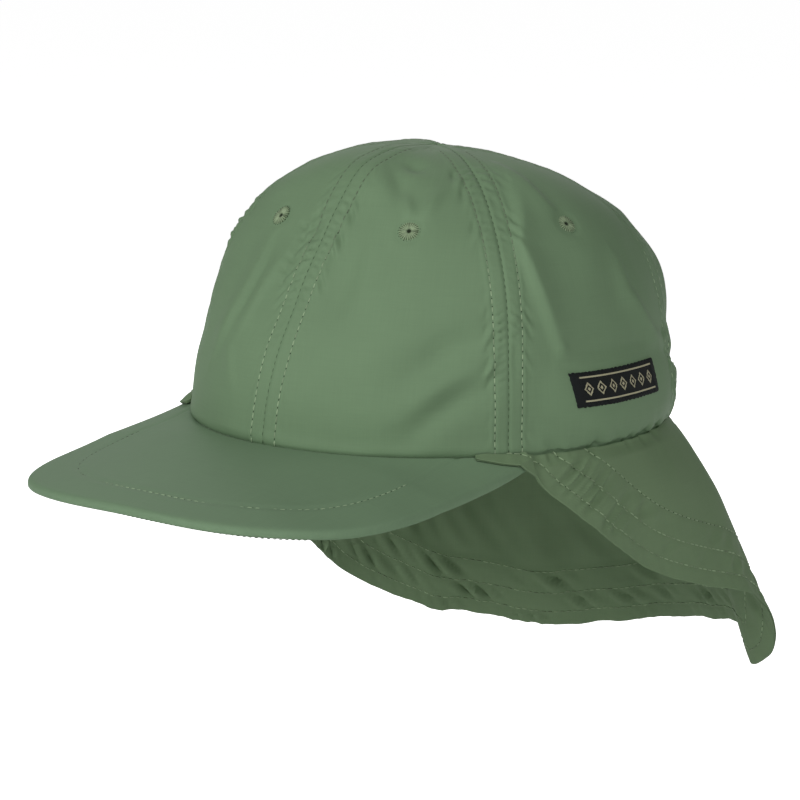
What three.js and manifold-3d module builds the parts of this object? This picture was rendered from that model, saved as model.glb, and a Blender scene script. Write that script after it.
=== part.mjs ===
// Legionnaire cap: six-panel crown, stiff peak and a draped neck flap.
// Millimetres, +Z up, peak towards -Y, wearer's left towards +X.
// The origin is the centre of the head opening, in the plane of the rim seam.

import * as THREE from "three";
import { mergeVertices } from "three/addons/utils/BufferGeometryUtils.js";
import Module from "manifold-3d";

// Head opening and crown

const HALF_WIDTH = 88;
const HALF_LENGTH = 98;
const CROWN_HEIGHT = 105;
const BAND_HEIGHT = 2.8;
const WALL = 1.2;
const CLEARANCE = 0.3;
const SEAM_GAP = 0.3;
const TIP_RADIUS = 1.4;
const RISE_POWER = 0.57;

// One row per direction: how the crown's reach shrinks as it climbs.
// taper is a power, belly and shoulder are shares of the reach at the rim.
const PROFILE = {
  front: { taper: 0.763, belly: -0.18, shoulder: -0.044 },
  side: { taper: 0.809, belly: -0.026, shoulder: 0.017 },
  back: { taper: 1.38, belly: -0.01, shoulder: 0.045 },
};

// The cloth puffs out above the gathered rim at the sides and back.
const PUFF = { depth: 4.5, height: 36, skew: 0.6, startTurn: 64, fullTurn: 86 };

// Peak

const PEAK_HALF_WIDTH = 82.4;
const PEAK_SIDE = 95.5;
const PEAK_LENGTH = 80.5;
const PEAK_ROUNDNESS = 2.5;
const PEAK_END = { turn: 60, x: 82, y: 44 };
const PEAK_THICKNESS = 3.2;
const PEAK_COVER = 1.3;
const PEAK_EDGE_RADIUS = 0.8;
const PEAK_DROOP = { front: 10, corner: -2.8, side: 11.2, settle: 0.18 };
const PEAK_LEAST_REACH = 0.2;

// Neck flap

const FLAP_DROP = 112;
const FLAP_FLARE = 48;
const FLAP_BULGE = 0.09;
const FLAP_SWAY = 0.035;
const FLAP_TOP = -0.4;
const FLAP_LAP = 0.9;
const FLAP_LAP_SLOPE = 1.2;
const FLAP_LAP_RANGE = 5;

// One row per hanging line of cloth, from the wearer's left round the back.
// turn: degrees from the front; flare and drop: shares of the flap's sizes.
const FLAP_LINES = [
  { turn: 49, flare: 0.04, drop: 0.0 },
  { turn: 55, flare: 0.08, drop: 0.02 },
  { turn: 60, flare: 0.1, drop: 0.035 },
  { turn: 63, flare: 0.09, drop: 0.07 },
  { turn: 66, flare: 0.09, drop: 0.115 },
  { turn: 71, flare: 0.1, drop: 0.17 },
  { turn: 78, flare: 0.12, drop: 0.245 },
  { turn: 85, flare: 0.15, drop: 0.32 },
  { turn: 94, flare: 0.2, drop: 0.41 },
  { turn: 103, flare: 0.3, drop: 0.475 },
  { turn: 113, flare: 0.46, drop: 0.535 },
  { turn: 122, flare: 0.66, drop: 0.59 },
  { turn: 127, flare: 0.8, drop: 0.645 },
  { turn: 130, flare: 0.92, drop: 0.72 },
  { turn: 132, flare: 0.97, drop: 0.8 },
  { turn: 134, flare: 0.95, drop: 0.87 },
  { turn: 138, flare: 0.81, drop: 0.92 },
  { turn: 141, flare: 0.76, drop: 0.86 },
  { turn: 144, flare: 0.78, drop: 0.8 },
  { turn: 153, flare: 0.68, drop: 0.825 },
  { turn: 163, flare: 0.62, drop: 0.87 },
  { turn: 173, flare: 0.58, drop: 0.92 },
  { turn: 184, flare: 0.55, drop: 0.965 },
  { turn: 195, flare: 0.51, drop: 1.0 },
  { turn: 207, flare: 0.47, drop: 0.975 },
  { turn: 217, flare: 0.41, drop: 0.95 },
  { turn: 227, flare: 0.35, drop: 0.88 },
  { turn: 237, flare: 0.31, drop: 0.79 },
  { turn: 246, flare: 0.27, drop: 0.66 },
  { turn: 256, flare: 0.22, drop: 0.53 },
  { turn: 267, flare: 0.17, drop: 0.41 },
  { turn: 277, flare: 0.13, drop: 0.3 },
  { turn: 287, flare: 0.1, drop: 0.185 },
  { turn: 294, flare: 0.09, drop: 0.1 },
  { turn: 299, flare: 0.1, drop: 0.04 },
  { turn: 305, flare: 0.09, drop: 0.01 },
  { turn: 311, flare: 0.04, drop: -0.01 },
];

// Label and eyelets

const LABEL = { turn: 90, rise: 22.6, length: 50.5, height: 12.8, thickness: 0.8, lean: -0.3 };
const EYELET = { radius: 4.4, hole: 1.1, height: 0.9, cutRadius: 1.5 };
const CUT_LENGTH = 6 * WALL;

// One row per corner of an eyelet's section.
// out: share of the way from its hole to its edge; lift: share of its height.
const EYELET_SECTION = [
  { out: 0, lift: 0 },
  { out: 0, lift: 0.6 },
  { out: 0.33, lift: 1 },
  { out: 0.71, lift: 1 },
  { out: 1, lift: 0.5 },
  { out: 1, lift: 0 },
];

// One row per panel, from the front seam round by the wearer's left.
// eyeletPast: degrees past the panel's first seam; eyeletRise: share of the height.
const PANELS = [
  { name: "front_left", eyeletPast: 33, eyeletRise: 0.75 },
  { name: "side_left", eyeletPast: 24, eyeletRise: 0.77 },
  { name: "back_left", eyeletPast: 30, eyeletRise: 0.75 },
  { name: "back_right", eyeletPast: 30, eyeletRise: 0.75 },
  { name: "side_right", eyeletPast: 34, eyeletRise: 0.77 },
  { name: "front_right", eyeletPast: 33, eyeletRise: 0.75 },
];
const PANEL_SPAN = 360 / PANELS.length;

// Facet counts

const PANEL_COLUMNS = 8;
const PANEL_ROWS = 13;
const PEAK_COLUMNS = 48;
const PEAK_ROWS = 5;
const FLAP_SPLITS = 2;
const FLAP_ROWS = 10;
const EYELET_SIDES = 16;
const LABEL_COLUMNS = 10;
const LABEL_ROWS = 2;
const OUTLINE_STEPS = 60;

// Steps across a surface between the points that give its slopes

const CROWN_STEP = { turn: 0.004, height: 0.002 };
const FLAP_STEP = { row: 0.02, down: 0.01 };

// Colours seen in daylight

const MATERIALS = {
  crown: { color: 0x70896b, roughness: 0.78 },
  peak: { color: 0x677e62, roughness: 0.78 },
  flap: { color: 0x5b6d52, roughness: 0.8 },
  eyelet: { color: 0x8ea084, roughness: 0.7 },
  label: { color: 0x1a1f1d, roughness: 0.85 },
};

const radians = THREE.MathUtils.degToRad;

/** Smooth step from 0 at `low` to 1 at `high`. */
function ramp(value, low, high) {
  return THREE.MathUtils.smoothstep(value, low, high);
}

/** Catmull-Rom value of a named column of a table at a fractional row. */
function column(table, name, row) {
  const i = Math.min(Math.max(Math.floor(row), 0), table.length - 2);
  const at = (k) => table[Math.min(Math.max(k, 0), table.length - 1)][name];
  const t = row - i;
  const [a, b, c, d] = [at(i - 1), at(i), at(i + 1), at(i + 2)];
  const slope = (c - a) / 2;
  const nextSlope = (d - b) / 2;
  return b + slope * t + (3 * (c - b) - 2 * slope - nextSlope) * t * t
    + (2 * (b - c) + slope + nextSlope) * t * t * t;
}

/** Reach of the crown at a turn and height share, as a share of the rim's. */
function crownReach(turn, height) {
  const climb = Math.asin(Math.min(Math.pow(height, 1 / RISE_POWER), 1));
  const along = Math.cos(turn);
  const weights = {
    front: along > 0 ? along * along : 0,
    side: Math.sin(turn) ** 2,
    back: along < 0 ? along * along : 0,
  };
  let reach = 0;
  for (const [name, row] of Object.entries(PROFILE)) {
    const narrowing = Math.pow(Math.max(Math.cos(climb), 1e-9), row.taper);
    const curve = row.belly * Math.sin(2 * climb) + row.shoulder * Math.sin(4 * climb);
    reach += weights[name] * (narrowing + curve);
  }
  return reach;
}

/** Turn folded to 0..180 degrees, the same on both sides of the cap. */
function sideTurn(turn) {
  const degrees = THREE.MathUtils.euclideanModulo(THREE.MathUtils.radToDeg(turn), 360);
  return Math.min(degrees, 360 - degrees);
}

/** How far the cloth puffs out over the gathered rim. */
function puff(turn, z) {
  const share = Math.min(Math.max(z / PUFF.height, 0), 1);
  const amount = ramp(sideTurn(turn), PUFF.startTurn, PUFF.fullTurn);
  return PUFF.depth * amount * Math.sin(Math.PI * Math.pow(share, PUFF.skew));
}

/** Outer face of the crown; height is a share, negative on the band below the rim. */
function crownPoint(turn, height) {
  const share = Math.min(Math.max(height, 0), 1);
  const z = height * CROWN_HEIGHT;
  const out = new THREE.Vector2(HALF_WIDTH * Math.sin(turn), -HALF_LENGTH * Math.cos(turn));
  const rim = out.length();
  const reach = Math.max(crownReach(turn, share) * rim + puff(turn, z), TIP_RADIUS);
  out.multiplyScalar(reach / rim);
  return new THREE.Vector3(out.x, out.y, Math.min(z, CROWN_HEIGHT));
}

/** Outward unit normal of a surface given by a function of two values. */
function surfaceNormal(surface, a, b, stepA, stepB) {
  const alongA = surface(a + stepA, b).sub(surface(a - stepA, b));
  const alongB = surface(a, b + stepB).sub(surface(a, b - stepB));
  return alongA.cross(alongB).normalize();
}

/** Outward unit normal of the crown, straight up at its very top. */
function crownNormal(turn, height) {
  const inside = Math.min(Math.max(height, 0.002), 0.997);
  return surfaceNormal(crownPoint, turn, inside, CROWN_STEP.turn, CROWN_STEP.height);
}

/** Point of the rim in a direction seen from above, with a distance outside it. */
function rimPoint(turn, outside, z) {
  const x = Math.sin(turn);
  const y = -Math.cos(turn);
  const radius = 1 / Math.hypot(x / HALF_WIDTH, y / HALF_LENGTH) + outside;
  return new THREE.Vector3(x * radius, y * radius, z);
}

/** Height of the peak's top face above a point of the plan. */
function peakHeight(x, y) {
  const outside = Math.max(Math.hypot(x / HALF_WIDTH, y / HALF_LENGTH) - 1, 0);
  const settle = 1 - Math.exp(-outside / PEAK_DROOP.settle);
  const start = HALF_LENGTH - PEAK_THICKNESS;
  const ahead = Math.max(-y - start, 0) / (PEAK_SIDE + PEAK_LENGTH - start);
  const across = (x / PEAK_HALF_WIDTH) ** 2;
  const side = (PEAK_DROOP.corner * ahead + PEAK_DROOP.side) * across;
  return -(PEAK_DROOP.front * ahead + side) * settle;
}

/** Plan outline of the peak, from its end on the wearer's left to the one on the right. */
function peakOutline() {
  const end = new THREE.Vector2(PEAK_END.x, -PEAK_END.y);
  const points = [end.clone()];
  for (let i = 0; i <= OUTLINE_STEPS; i += 1) {
    const angle = (Math.PI / 2) * (1 - (2 * i) / OUTLINE_STEPS);
    const across = Math.pow(Math.abs(Math.sin(angle)), 2 / PEAK_ROUNDNESS);
    const ahead = Math.pow(Math.max(Math.cos(angle), 0), 2 / PEAK_ROUNDNESS);
    const x = PEAK_HALF_WIDTH * Math.sign(angle) * across;
    points.push(new THREE.Vector2(x, -(PEAK_SIDE + PEAK_LENGTH * ahead)));
  }
  points.push(new THREE.Vector2(-end.x, end.y));
  const path = new THREE.CurvePath();
  for (let i = 1; i < points.length; i += 1) {
    path.add(new THREE.LineCurve(points[i - 1], points[i]));
  }
  return path;
}

/** Closed body between two matching grids of points, outer[i][j] and inner[i][j]. */
function closedSheet(outer, inner) {
  const columns = outer.length;
  const rows = outer[0].length;
  const positions = [];
  const index = [];
  for (const grid of [outer, inner]) {
    for (const line of grid) {
      for (const point of line) {
        positions.push(point.x, point.y, point.z);
      }
    }
  }
  const skip = columns * rows;
  const quad = (a, b, c, d) => index.push(a, b, c, a, c, d);
  for (let i = 0; i < columns - 1; i += 1) {
    for (let j = 0; j < rows - 1; j += 1) {
      const a = i * rows + j;
      quad(a, a + rows, a + rows + 1, a + 1);
      quad(skip + a, skip + a + 1, skip + a + rows + 1, skip + a + rows);
    }
  }
  for (let i = 0; i < columns - 1; i += 1) {
    const low = i * rows;
    const high = low + rows - 1;
    quad(low, skip + low, skip + low + rows, low + rows);
    quad(high, high + rows, skip + high + rows, skip + high);
  }
  const last = (columns - 1) * rows;
  for (let j = 0; j < rows - 1; j += 1) {
    quad(j, j + 1, skip + j + 1, skip + j);
    quad(last + j, skip + last + j, skip + last + j + 1, last + j + 1);
  }
  return indexedGeometry(positions, index);
}

/** Geometry from positions and triangles, turned so that its volume is positive. */
function indexedGeometry(positions, index) {
  const at = (k) => new THREE.Vector3().fromArray(positions, 3 * k);
  let volume = 0;
  for (let k = 0; k < index.length; k += 3) {
    volume += at(index[k]).dot(at(index[k + 1]).cross(at(index[k + 2])));
  }
  const faces = volume < 0 ? index.slice().reverse() : index;
  const geometry = new THREE.BufferGeometry();
  geometry.setAttribute("position", new THREE.Float32BufferAttribute(positions, 3));
  geometry.setIndex(faces);
  return geometry;
}

/** Grid of points from a function of a column share and a row share. */
function pointGrid(columns, rows, place) {
  return Array.from({ length: columns + 1 }, (_, i) =>
    Array.from({ length: rows + 1 }, (__, j) => place(i / columns, j / rows)));
}

/** One crown panel between two seams, before its eyelet hole is cut. */
function panelGeometry(number) {
  const from = radians(PANEL_SPAN * number);
  const to = radians(PANEL_SPAN * (number + 1));
  const place = (depth) => (across, up) => {
    const band = up === 0;
    const climbShare = (up * PANEL_ROWS - 1) / (PANEL_ROWS - 1);
    const height = band ? -BAND_HEIGHT / CROWN_HEIGHT : Math.sin((climbShare * Math.PI) / 2);
    const middle = crownPoint((from + to) / 2, height);
    const inset = SEAM_GAP / 2 / Math.hypot(middle.x, middle.y);
    const turn = THREE.MathUtils.lerp(from + inset, to - inset, across);
    const normal = crownNormal(turn, height);
    if (band) {
      normal.setZ(0).normalize();
    }
    return crownPoint(turn, height).addScaledVector(normal, -depth);
  };
  const outer = pointGrid(PANEL_COLUMNS, PANEL_ROWS, place(0));
  const inner = pointGrid(PANEL_COLUMNS, PANEL_ROWS, place(WALL));
  return closedSheet(outer, inner);
}

/** Position in the crown's own turn and height, moved by two lengths along its face. */
function crownOffset(turn, height, across, up) {
  const step = CROWN_STEP;
  const ahead = crownPoint(turn + step.turn, height);
  const above = crownPoint(turn, height + step.height);
  const alongTurn = ahead.sub(crownPoint(turn - step.turn, height));
  const alongHeight = above.sub(crownPoint(turn, height - step.height));
  alongTurn.divideScalar(2 * step.turn);
  alongHeight.divideScalar(2 * step.height);
  const acrossUnit = alongTurn.clone().normalize();
  const shear = alongHeight.dot(acrossUnit);
  const climb = Math.sqrt(Math.max(alongHeight.lengthSq() - shear * shear, 1e-6));
  const heightStep = up / climb;
  const turnStep = (across - shear * heightStep) / alongTurn.length();
  return { turn: turn + turnStep, height: height + heightStep };
}

/** Point over the crown's face at a lift, two lengths away from a place on it. */
function overCrown(turn, height, across, up, lift) {
  const spot = crownOffset(turn, height, across, up);
  const normal = crownNormal(spot.turn, spot.height);
  return crownPoint(spot.turn, spot.height).addScaledVector(normal, lift);
}

/** Turn and height of a panel's eyelet. */
function eyeletPlace(number) {
  const panel = PANELS[number];
  return { turn: radians(PANEL_SPAN * number + panel.eyeletPast), height: panel.eyeletRise };
}

/** Embroidered eyelet: a low ring that follows the crown's face. */
function eyeletGeometry(number) {
  const { turn, height } = eyeletPlace(number);
  const positions = [];
  const index = [];
  const count = EYELET_SECTION.length;
  for (let i = 0; i < EYELET_SIDES; i += 1) {
    const angle = (2 * Math.PI * i) / EYELET_SIDES;
    EYELET_SECTION.forEach((row, j) => {
      const radius = THREE.MathUtils.lerp(EYELET.hole, EYELET.radius, row.out);
      const across = radius * Math.cos(angle);
      const up = radius * Math.sin(angle);
      const lift = CLEARANCE + row.lift * EYELET.height;
      const point = overCrown(turn, height, across, up, lift);
      positions.push(point.x, point.y, point.z);
      const start = i * count;
      const next = ((i + 1) % EYELET_SIDES) * count;
      const side = (j + 1) % count;
      index.push(start + j, next + j, next + side);
      index.push(start + j, next + side, start + side);
    });
  }
  return indexedGeometry(positions, index);
}

/** Cylinder through the crown's wall under an eyelet. */
function eyeletCutter(number) {
  const { turn, height } = eyeletPlace(number);
  const radius = EYELET.cutRadius;
  const geometry = new THREE.CylinderGeometry(radius, radius, CUT_LENGTH, EYELET_SIDES);
  const axis = new THREE.Vector3(0, 1, 0);
  const toNormal = new THREE.Quaternion().setFromUnitVectors(axis, crownNormal(turn, height));
  geometry.applyQuaternion(toNormal);
  const centre = crownPoint(turn, height);
  geometry.translate(centre.x, centre.y, centre.z);
  return geometry;
}

/** Woven label lying on the crown's side above the rim. */
function labelGeometry() {
  const turn = radians(LABEL.turn);
  const height = LABEL.rise / CROWN_HEIGHT;
  const place = (lift) => (across, up) => {
    const along = (across - 0.5) * LABEL.length;
    const sag = -LABEL.lean * (across - 0.5);
    return overCrown(turn, height, along, (up - 0.5) * LABEL.height + sag, lift);
  };
  const outer = pointGrid(LABEL_COLUMNS, LABEL_ROWS, place(CLEARANCE + LABEL.thickness));
  const inner = pointGrid(LABEL_COLUMNS, LABEL_ROWS, place(CLEARANCE));
  return closedSheet(outer, inner);
}

/** Plan point of the peak by share along it and inset from its outline. */
function peakPlan(outline, along, outward, inset) {
  const turn = radians(PEAK_END.turn) * (1 - 2 * along);
  const root = rimPoint(turn, CLEARANCE, 0);
  const edge = outline.getPointAt(along);
  const line = new THREE.Vector2(edge.x - root.x, edge.y - root.y);
  const length = line.length();
  const reach = outward * Math.max(length - inset, PEAK_LEAST_REACH * length);
  line.setLength(reach);
  return new THREE.Vector2(root.x + line.x, root.y + line.y);
}

/** Peak cover from rows of the section: share outward, inset and depth below the top. */
function peakCover(section) {
  const outline = peakOutline();
  const place = (side) => (along, row) => {
    const spec = section[Math.round(row * (section.length - 1))][side];
    const plan = peakPlan(outline, along, spec.outward, spec.inset);
    return new THREE.Vector3(plan.x, plan.y, peakHeight(plan.x, plan.y) - spec.depth);
  };
  const rows = section.length - 1;
  const outer = pointGrid(PEAK_COLUMNS, rows, place("outer"));
  const inner = pointGrid(PEAK_COLUMNS, rows, place("inner"));
  return closedSheet(outer, inner);
}

/** Top cover: lies over the peak and wraps down round its edge. */
function peakTopGeometry() {
  const section = [];
  for (let k = 0; k <= PEAK_ROWS; k += 1) {
    const outward = k / PEAK_ROWS;
    section.push({
      outer: { outward, inset: PEAK_EDGE_RADIUS, depth: 0 },
      inner: { outward, inset: PEAK_COVER, depth: PEAK_COVER },
    });
  }
  section.push({
    outer: { outward: 1, inset: 0, depth: PEAK_EDGE_RADIUS },
    inner: { outward: 1, inset: PEAK_COVER, depth: (PEAK_COVER + PEAK_THICKNESS) / 2 },
  });
  section.push({
    outer: { outward: 1, inset: 0, depth: PEAK_THICKNESS },
    inner: { outward: 1, inset: PEAK_COVER, depth: PEAK_THICKNESS },
  });
  return peakCover(section);
}

/** Under cover: closes the peak from below, inside the wrapped edge. */
function peakUnderGeometry() {
  const inset = PEAK_COVER + CLEARANCE;
  const section = [];
  for (let k = 0; k <= PEAK_ROWS; k += 1) {
    const outward = k / PEAK_ROWS;
    section.push({
      outer: { outward, inset, depth: PEAK_THICKNESS },
      inner: { outward, inset, depth: PEAK_COVER + CLEARANCE },
    });
  }
  return peakCover(section);
}

/** Lowest height the flap's outer face may have where it laps over the peak's end. */
function lapHeight(x, y) {
  const beyondSide = Math.max(Math.abs(x) - PEAK_END.x - WALL, 0);
  const beyondEnd = Math.max(y + PEAK_END.y - WALL, 0);
  const lift = FLAP_LAP + WALL;
  return peakHeight(x, y) + lift - FLAP_LAP_SLOPE * (beyondSide + beyondEnd);
}

/** Outer face of the flap: row along its table of lines, share from rim to hem. */
function flapPoint(row, down) {
  const turn = radians(column(FLAP_LINES, "turn", row));
  const flare = FLAP_FLARE * column(FLAP_LINES, "flare", row);
  const drop = FLAP_DROP * column(FLAP_LINES, "drop", row);
  const sway = FLAP_SWAY * Math.sin(2 * Math.PI * down);
  const outside = flare * (down + FLAP_BULGE * Math.sin(Math.PI * down) + sway);
  const point = rimPoint(turn, CLEARANCE + WALL + outside, FLAP_TOP - drop * down);
  const lap = lapHeight(point.x, point.y);
  if (point.y < -PEAK_END.y + FLAP_LAP_RANGE) {
    point.z = Math.max(point.z, lap);
  }
  return point;
}

/** Neck flap: one sheet of cloth from peak end to peak end round the back. */
function flapGeometry() {
  const lines = FLAP_LINES.length - 1;
  const place = (depth) => (along, down) => {
    const row = along * lines;
    const inward = surfaceNormal(flapPoint, row, down, FLAP_STEP.row, FLAP_STEP.down);
    return flapPoint(row, down).addScaledVector(inward, depth);
  };
  const outer = pointGrid(lines * FLAP_SPLITS, FLAP_ROWS, place(0));
  const inner = pointGrid(lines * FLAP_SPLITS, FLAP_ROWS, place(WALL));
  return closedSheet(outer, inner);
}

/** Solid body of a geometry, ready for cutting. */
function toManifold(geometry) {
  const bare = geometry.clone();
  bare.deleteAttribute("normal");
  bare.deleteAttribute("uv");
  const merged = mergeVertices(bare, 1e-4);
  const mesh = new wasm.Mesh({
    numProp: 3,
    vertProperties: new Float32Array(merged.attributes.position.array),
    triVerts: new Uint32Array(merged.index.array),
  });
  return new wasm.Manifold(mesh);
}

/** Geometry of a solid body. */
function fromManifold(body) {
  const mesh = body.getMesh();
  const geometry = new THREE.BufferGeometry();
  geometry.setAttribute("position", new THREE.Float32BufferAttribute(mesh.vertProperties, 3));
  geometry.setIndex(Array.from(mesh.triVerts));
  return geometry;
}

/** Named mesh with its own material. */
function namedMesh(name, geometry, look) {
  geometry.computeVertexNormals();
  const material = new THREE.MeshStandardMaterial({ ...look, metalness: 0 });
  const mesh = new THREE.Mesh(geometry, material);
  mesh.name = name;
  return mesh;
}

// The cap

const wasm = await Module();
wasm.setup();

const cap = new THREE.Group();
cap.name = "legionnaire_cap";
PANELS.forEach((panel, number) => {
  const cloth = toManifold(panelGeometry(number));
  const holed = cloth.subtract(toManifold(eyeletCutter(number)));
  cap.add(namedMesh(`crown_panel_${panel.name}`, fromManifold(holed), MATERIALS.crown));
  cap.add(namedMesh(`eyelet_${panel.name}`, eyeletGeometry(number), MATERIALS.eyelet));
});
cap.add(namedMesh("label", labelGeometry(), MATERIALS.label));
cap.add(namedMesh("peak_top_cover", peakTopGeometry(), MATERIALS.peak));
cap.add(namedMesh("peak_under_cover", peakUnderGeometry(), MATERIALS.peak));
cap.add(namedMesh("neck_flap", flapGeometry(), MATERIALS.flap));

export default cap;
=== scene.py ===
"""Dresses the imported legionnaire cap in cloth, thread and a woven label.

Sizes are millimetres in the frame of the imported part: +Z up, the peak towards -Y and the
wearer's left towards +X. Meshes are written in metres.
"""

import logging
import math
from collections.abc import Callable, Mapping, Sequence
from dataclasses import dataclass, field
from enum import Enum
from typing import NamedTuple

import bpy
import numpy as np
from mathutils import Matrix, Vector


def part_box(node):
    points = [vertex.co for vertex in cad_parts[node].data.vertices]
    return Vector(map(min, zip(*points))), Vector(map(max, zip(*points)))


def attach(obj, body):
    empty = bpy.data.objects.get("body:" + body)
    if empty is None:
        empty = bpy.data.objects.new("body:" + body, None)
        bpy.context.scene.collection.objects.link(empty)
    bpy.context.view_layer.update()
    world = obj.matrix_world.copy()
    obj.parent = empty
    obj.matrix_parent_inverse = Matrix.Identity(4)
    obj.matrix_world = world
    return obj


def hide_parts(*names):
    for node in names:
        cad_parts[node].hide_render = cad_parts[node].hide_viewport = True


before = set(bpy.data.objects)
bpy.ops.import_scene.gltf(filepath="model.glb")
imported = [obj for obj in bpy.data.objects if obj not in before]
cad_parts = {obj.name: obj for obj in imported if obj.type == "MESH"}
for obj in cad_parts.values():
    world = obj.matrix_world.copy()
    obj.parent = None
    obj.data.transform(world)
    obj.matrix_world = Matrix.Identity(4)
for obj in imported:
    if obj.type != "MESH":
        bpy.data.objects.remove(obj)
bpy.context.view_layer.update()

MM = 0.001
CM_PER_MM = 0.1
TAU = 2 * math.pi
BODY = "root"
UV_NAME = "cloth"
SHARP_ANGLE = 50.0
PANEL_TURN = 60.0

log = logging.getLogger("cap")

Array = np.ndarray
Colour = tuple[float, float, float, float]


class Slot(Enum):
    """The record's material slots."""

    CROWN = "crown_cloth"
    PEAK = "peak_cloth"
    FLAP = "flap_cloth"
    EYELET = "eyelet_thread"
    LABEL = "label_weave"


# Numbers


def smooth_step(value: Array, low: float, high: float) -> Array:
    """Smooth step from 0 at `low` to 1 at `high`."""
    share = np.clip((value - low) / (high - low), 0, 1)
    return share * share * (3 - 2 * share)


def bell(value: Array, width: float) -> Array:
    """Bell curve, 1 at zero and falling off over `width`."""
    return np.exp(-((value / width) ** 2))


def unit(vectors: Array) -> Array:
    """Vectors scaled to length 1."""
    return vectors / np.maximum(np.linalg.norm(vectors, axis=-1, keepdims=True), 1e-9)


def run_length(points: Array) -> Array:
    """Distance travelled along a line of points, from 0."""
    steps = np.linalg.norm(np.diff(points, axis=0), axis=-1)
    return np.concatenate([[0.0], np.cumsum(steps)])


def side_of(node: str, axis: int, high: bool = True) -> float:
    """One side of a node's box in the frame, in millimetres from the middle."""
    return abs(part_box(node)[high][axis]) / MM


def sample_grid(grid: Array, column: Array, row: Array) -> Array:
    """Bilinear values of a grid at fractional columns and rows.

    Args:
        grid: values, columns by rows by anything.
        column: fractional column of each sample.
        row: fractional row of each sample.

    Returns:
        One value for each sample.
    """
    i = np.clip(np.floor(column).astype(int), 0, grid.shape[0] - 2)
    j = np.clip(np.floor(row).astype(int), 0, grid.shape[1] - 2)
    a = (column - i)[:, None]
    b = (row - j)[:, None]
    low = grid[i, j] * (1 - a) + grid[i + 1, j] * a
    high = grid[i, j + 1] * (1 - a) + grid[i + 1, j + 1] * a
    return low * (1 - b) + high * b


def grid_normals(points: Array) -> Array:
    """Unit normals of a grid of points, columns by rows by 3.

    Args:
        points: the grid of points.

    Returns:
        The normals, in the grid's order.
    """
    along = np.gradient(points, axis=0)
    down = np.gradient(points, axis=1)
    return unit(np.cross(along, down))


@dataclass(frozen=True)
class Ripple:
    """A smooth, seeded random wave along a line, about -1 to 1."""

    wavelength: float
    seed: int
    spread: float = 0.45
    waves: int = 6

    def __call__(self, place: Array) -> Array:
        """Height of the wave at each place along the line.

        Args:
            place: distances along the line.

        Returns:
            The heights.
        """
        rng = np.random.default_rng(self.seed)
        total = np.zeros_like(np.asarray(place, float))
        for _ in range(self.waves):
            pace = rng.uniform(1 - self.spread, 1 + self.spread)
            total += np.sin(TAU * pace * place / self.wavelength + rng.uniform(0, TAU))
        return total / math.sqrt(self.waves)


@dataclass(frozen=True)
class Swell:
    """A smooth, seeded random swell in space, about -1 to 1."""

    wavelength: float
    seed: int
    waves: int = 9

    def __call__(self, points: Array) -> Array:
        """Height of the swell at each point.

        Args:
            points: places in millimetres, ending in 3.

        Returns:
            The heights.
        """
        rng = np.random.default_rng(self.seed)
        total = np.zeros(points.shape[:-1])
        for _ in range(self.waves):
            way = rng.normal(size=3)
            way *= TAU * rng.uniform(0.6, 1.4) / self.wavelength / np.linalg.norm(way)
            total += np.sin(points @ way + rng.uniform(0, TAU))
        return total / math.sqrt(self.waves)


# Meshes


def loop_mesh(name: str, loops: Array, coords: Array) -> bpy.types.Object:
    """Closed body lofted through closed loops of points.

    Args:
        name: name of the new object.
        loops: points in millimetres, columns by an even count by 3; in each loop, points
            paired from its two ends face each other across the wall.
        coords: cloth coordinates of the same points in millimetres, ending in 2.

    Returns:
        The object, linked to the scene, with its faces turned outwards.
    """
    columns, count = loops.shape[:2]
    index = np.arange(columns * count).reshape(columns, count)
    ahead = np.roll(index, -1, axis=1)
    sides = np.stack([index[:-1], index[1:], ahead[1:], ahead[:-1]], -1).reshape(-1, 4)
    half = count // 2
    near = np.arange(half - 1)
    caps = np.stack([near, near + 1, count - 2 - near, count - 1 - near], -1)
    last = index[-1, 0]
    faces = np.concatenate([sides, caps, caps[:, ::-1] + last])
    points = loops.reshape(-1, 3)
    corner = points[faces]
    volume = np.einsum("ij,ij->i", corner[:, 0], np.cross(corner[:, 1], corner[:, 2])).sum()
    volume += np.einsum("ij,ij->i", corner[:, 0], np.cross(corner[:, 2], corner[:, 3])).sum()
    if volume < 0:
        faces = faces[:, ::-1]
    return grid_object(name, points, faces, coords.reshape(-1, 2))


def grid_object(name: str, points: Array, faces: Array, coords: Array) -> bpy.types.Object:
    """Object from points, faces and a cloth coordinate for each point.

    Args:
        name: name of the new object.
        points: places in millimetres.
        faces: point numbers of each face.
        coords: cloth coordinates in millimetres, two for each point.

    Returns:
        The object, linked to the scene and smooth but for its sharp edges.
    """
    mesh = bpy.data.meshes.new(name)
    mesh.from_pydata((points * MM).tolist(), [], faces.tolist())
    corners = np.zeros(len(mesh.loops), np.int32)
    mesh.loops.foreach_get("vertex_index", corners)
    layer = mesh.uv_layers.new(name=UV_NAME)
    layer.data.foreach_set("uv", (coords[corners] * CM_PER_MM).astype(np.float32).ravel())
    mesh.shade_smooth()
    mesh.set_sharp_from_angle(angle=math.radians(SHARP_ANGLE))
    piece = bpy.data.objects.new(name, mesh)
    bpy.context.scene.collection.objects.link(piece)
    return piece


def fit_to_frame(
    piece: bpy.types.Object,
    finish: bpy.types.Material,
    nodes: Sequence[str] = (),
) -> bpy.types.Object:
    """Gives a piece its finish and its place in the frame.

    Args:
        piece: the finished piece.
        finish: material for the whole piece.
        nodes: frame nodes that the piece stands for.

    Returns:
        The same piece.
    """
    if not piece.data.materials:
        piece.data.materials.append(finish)
    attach(piece, BODY)
    if nodes:
        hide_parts(*nodes)
    log.info("%s: %d faces", piece.name, len(piece.data.polygons))
    return piece


# Node trees


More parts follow.
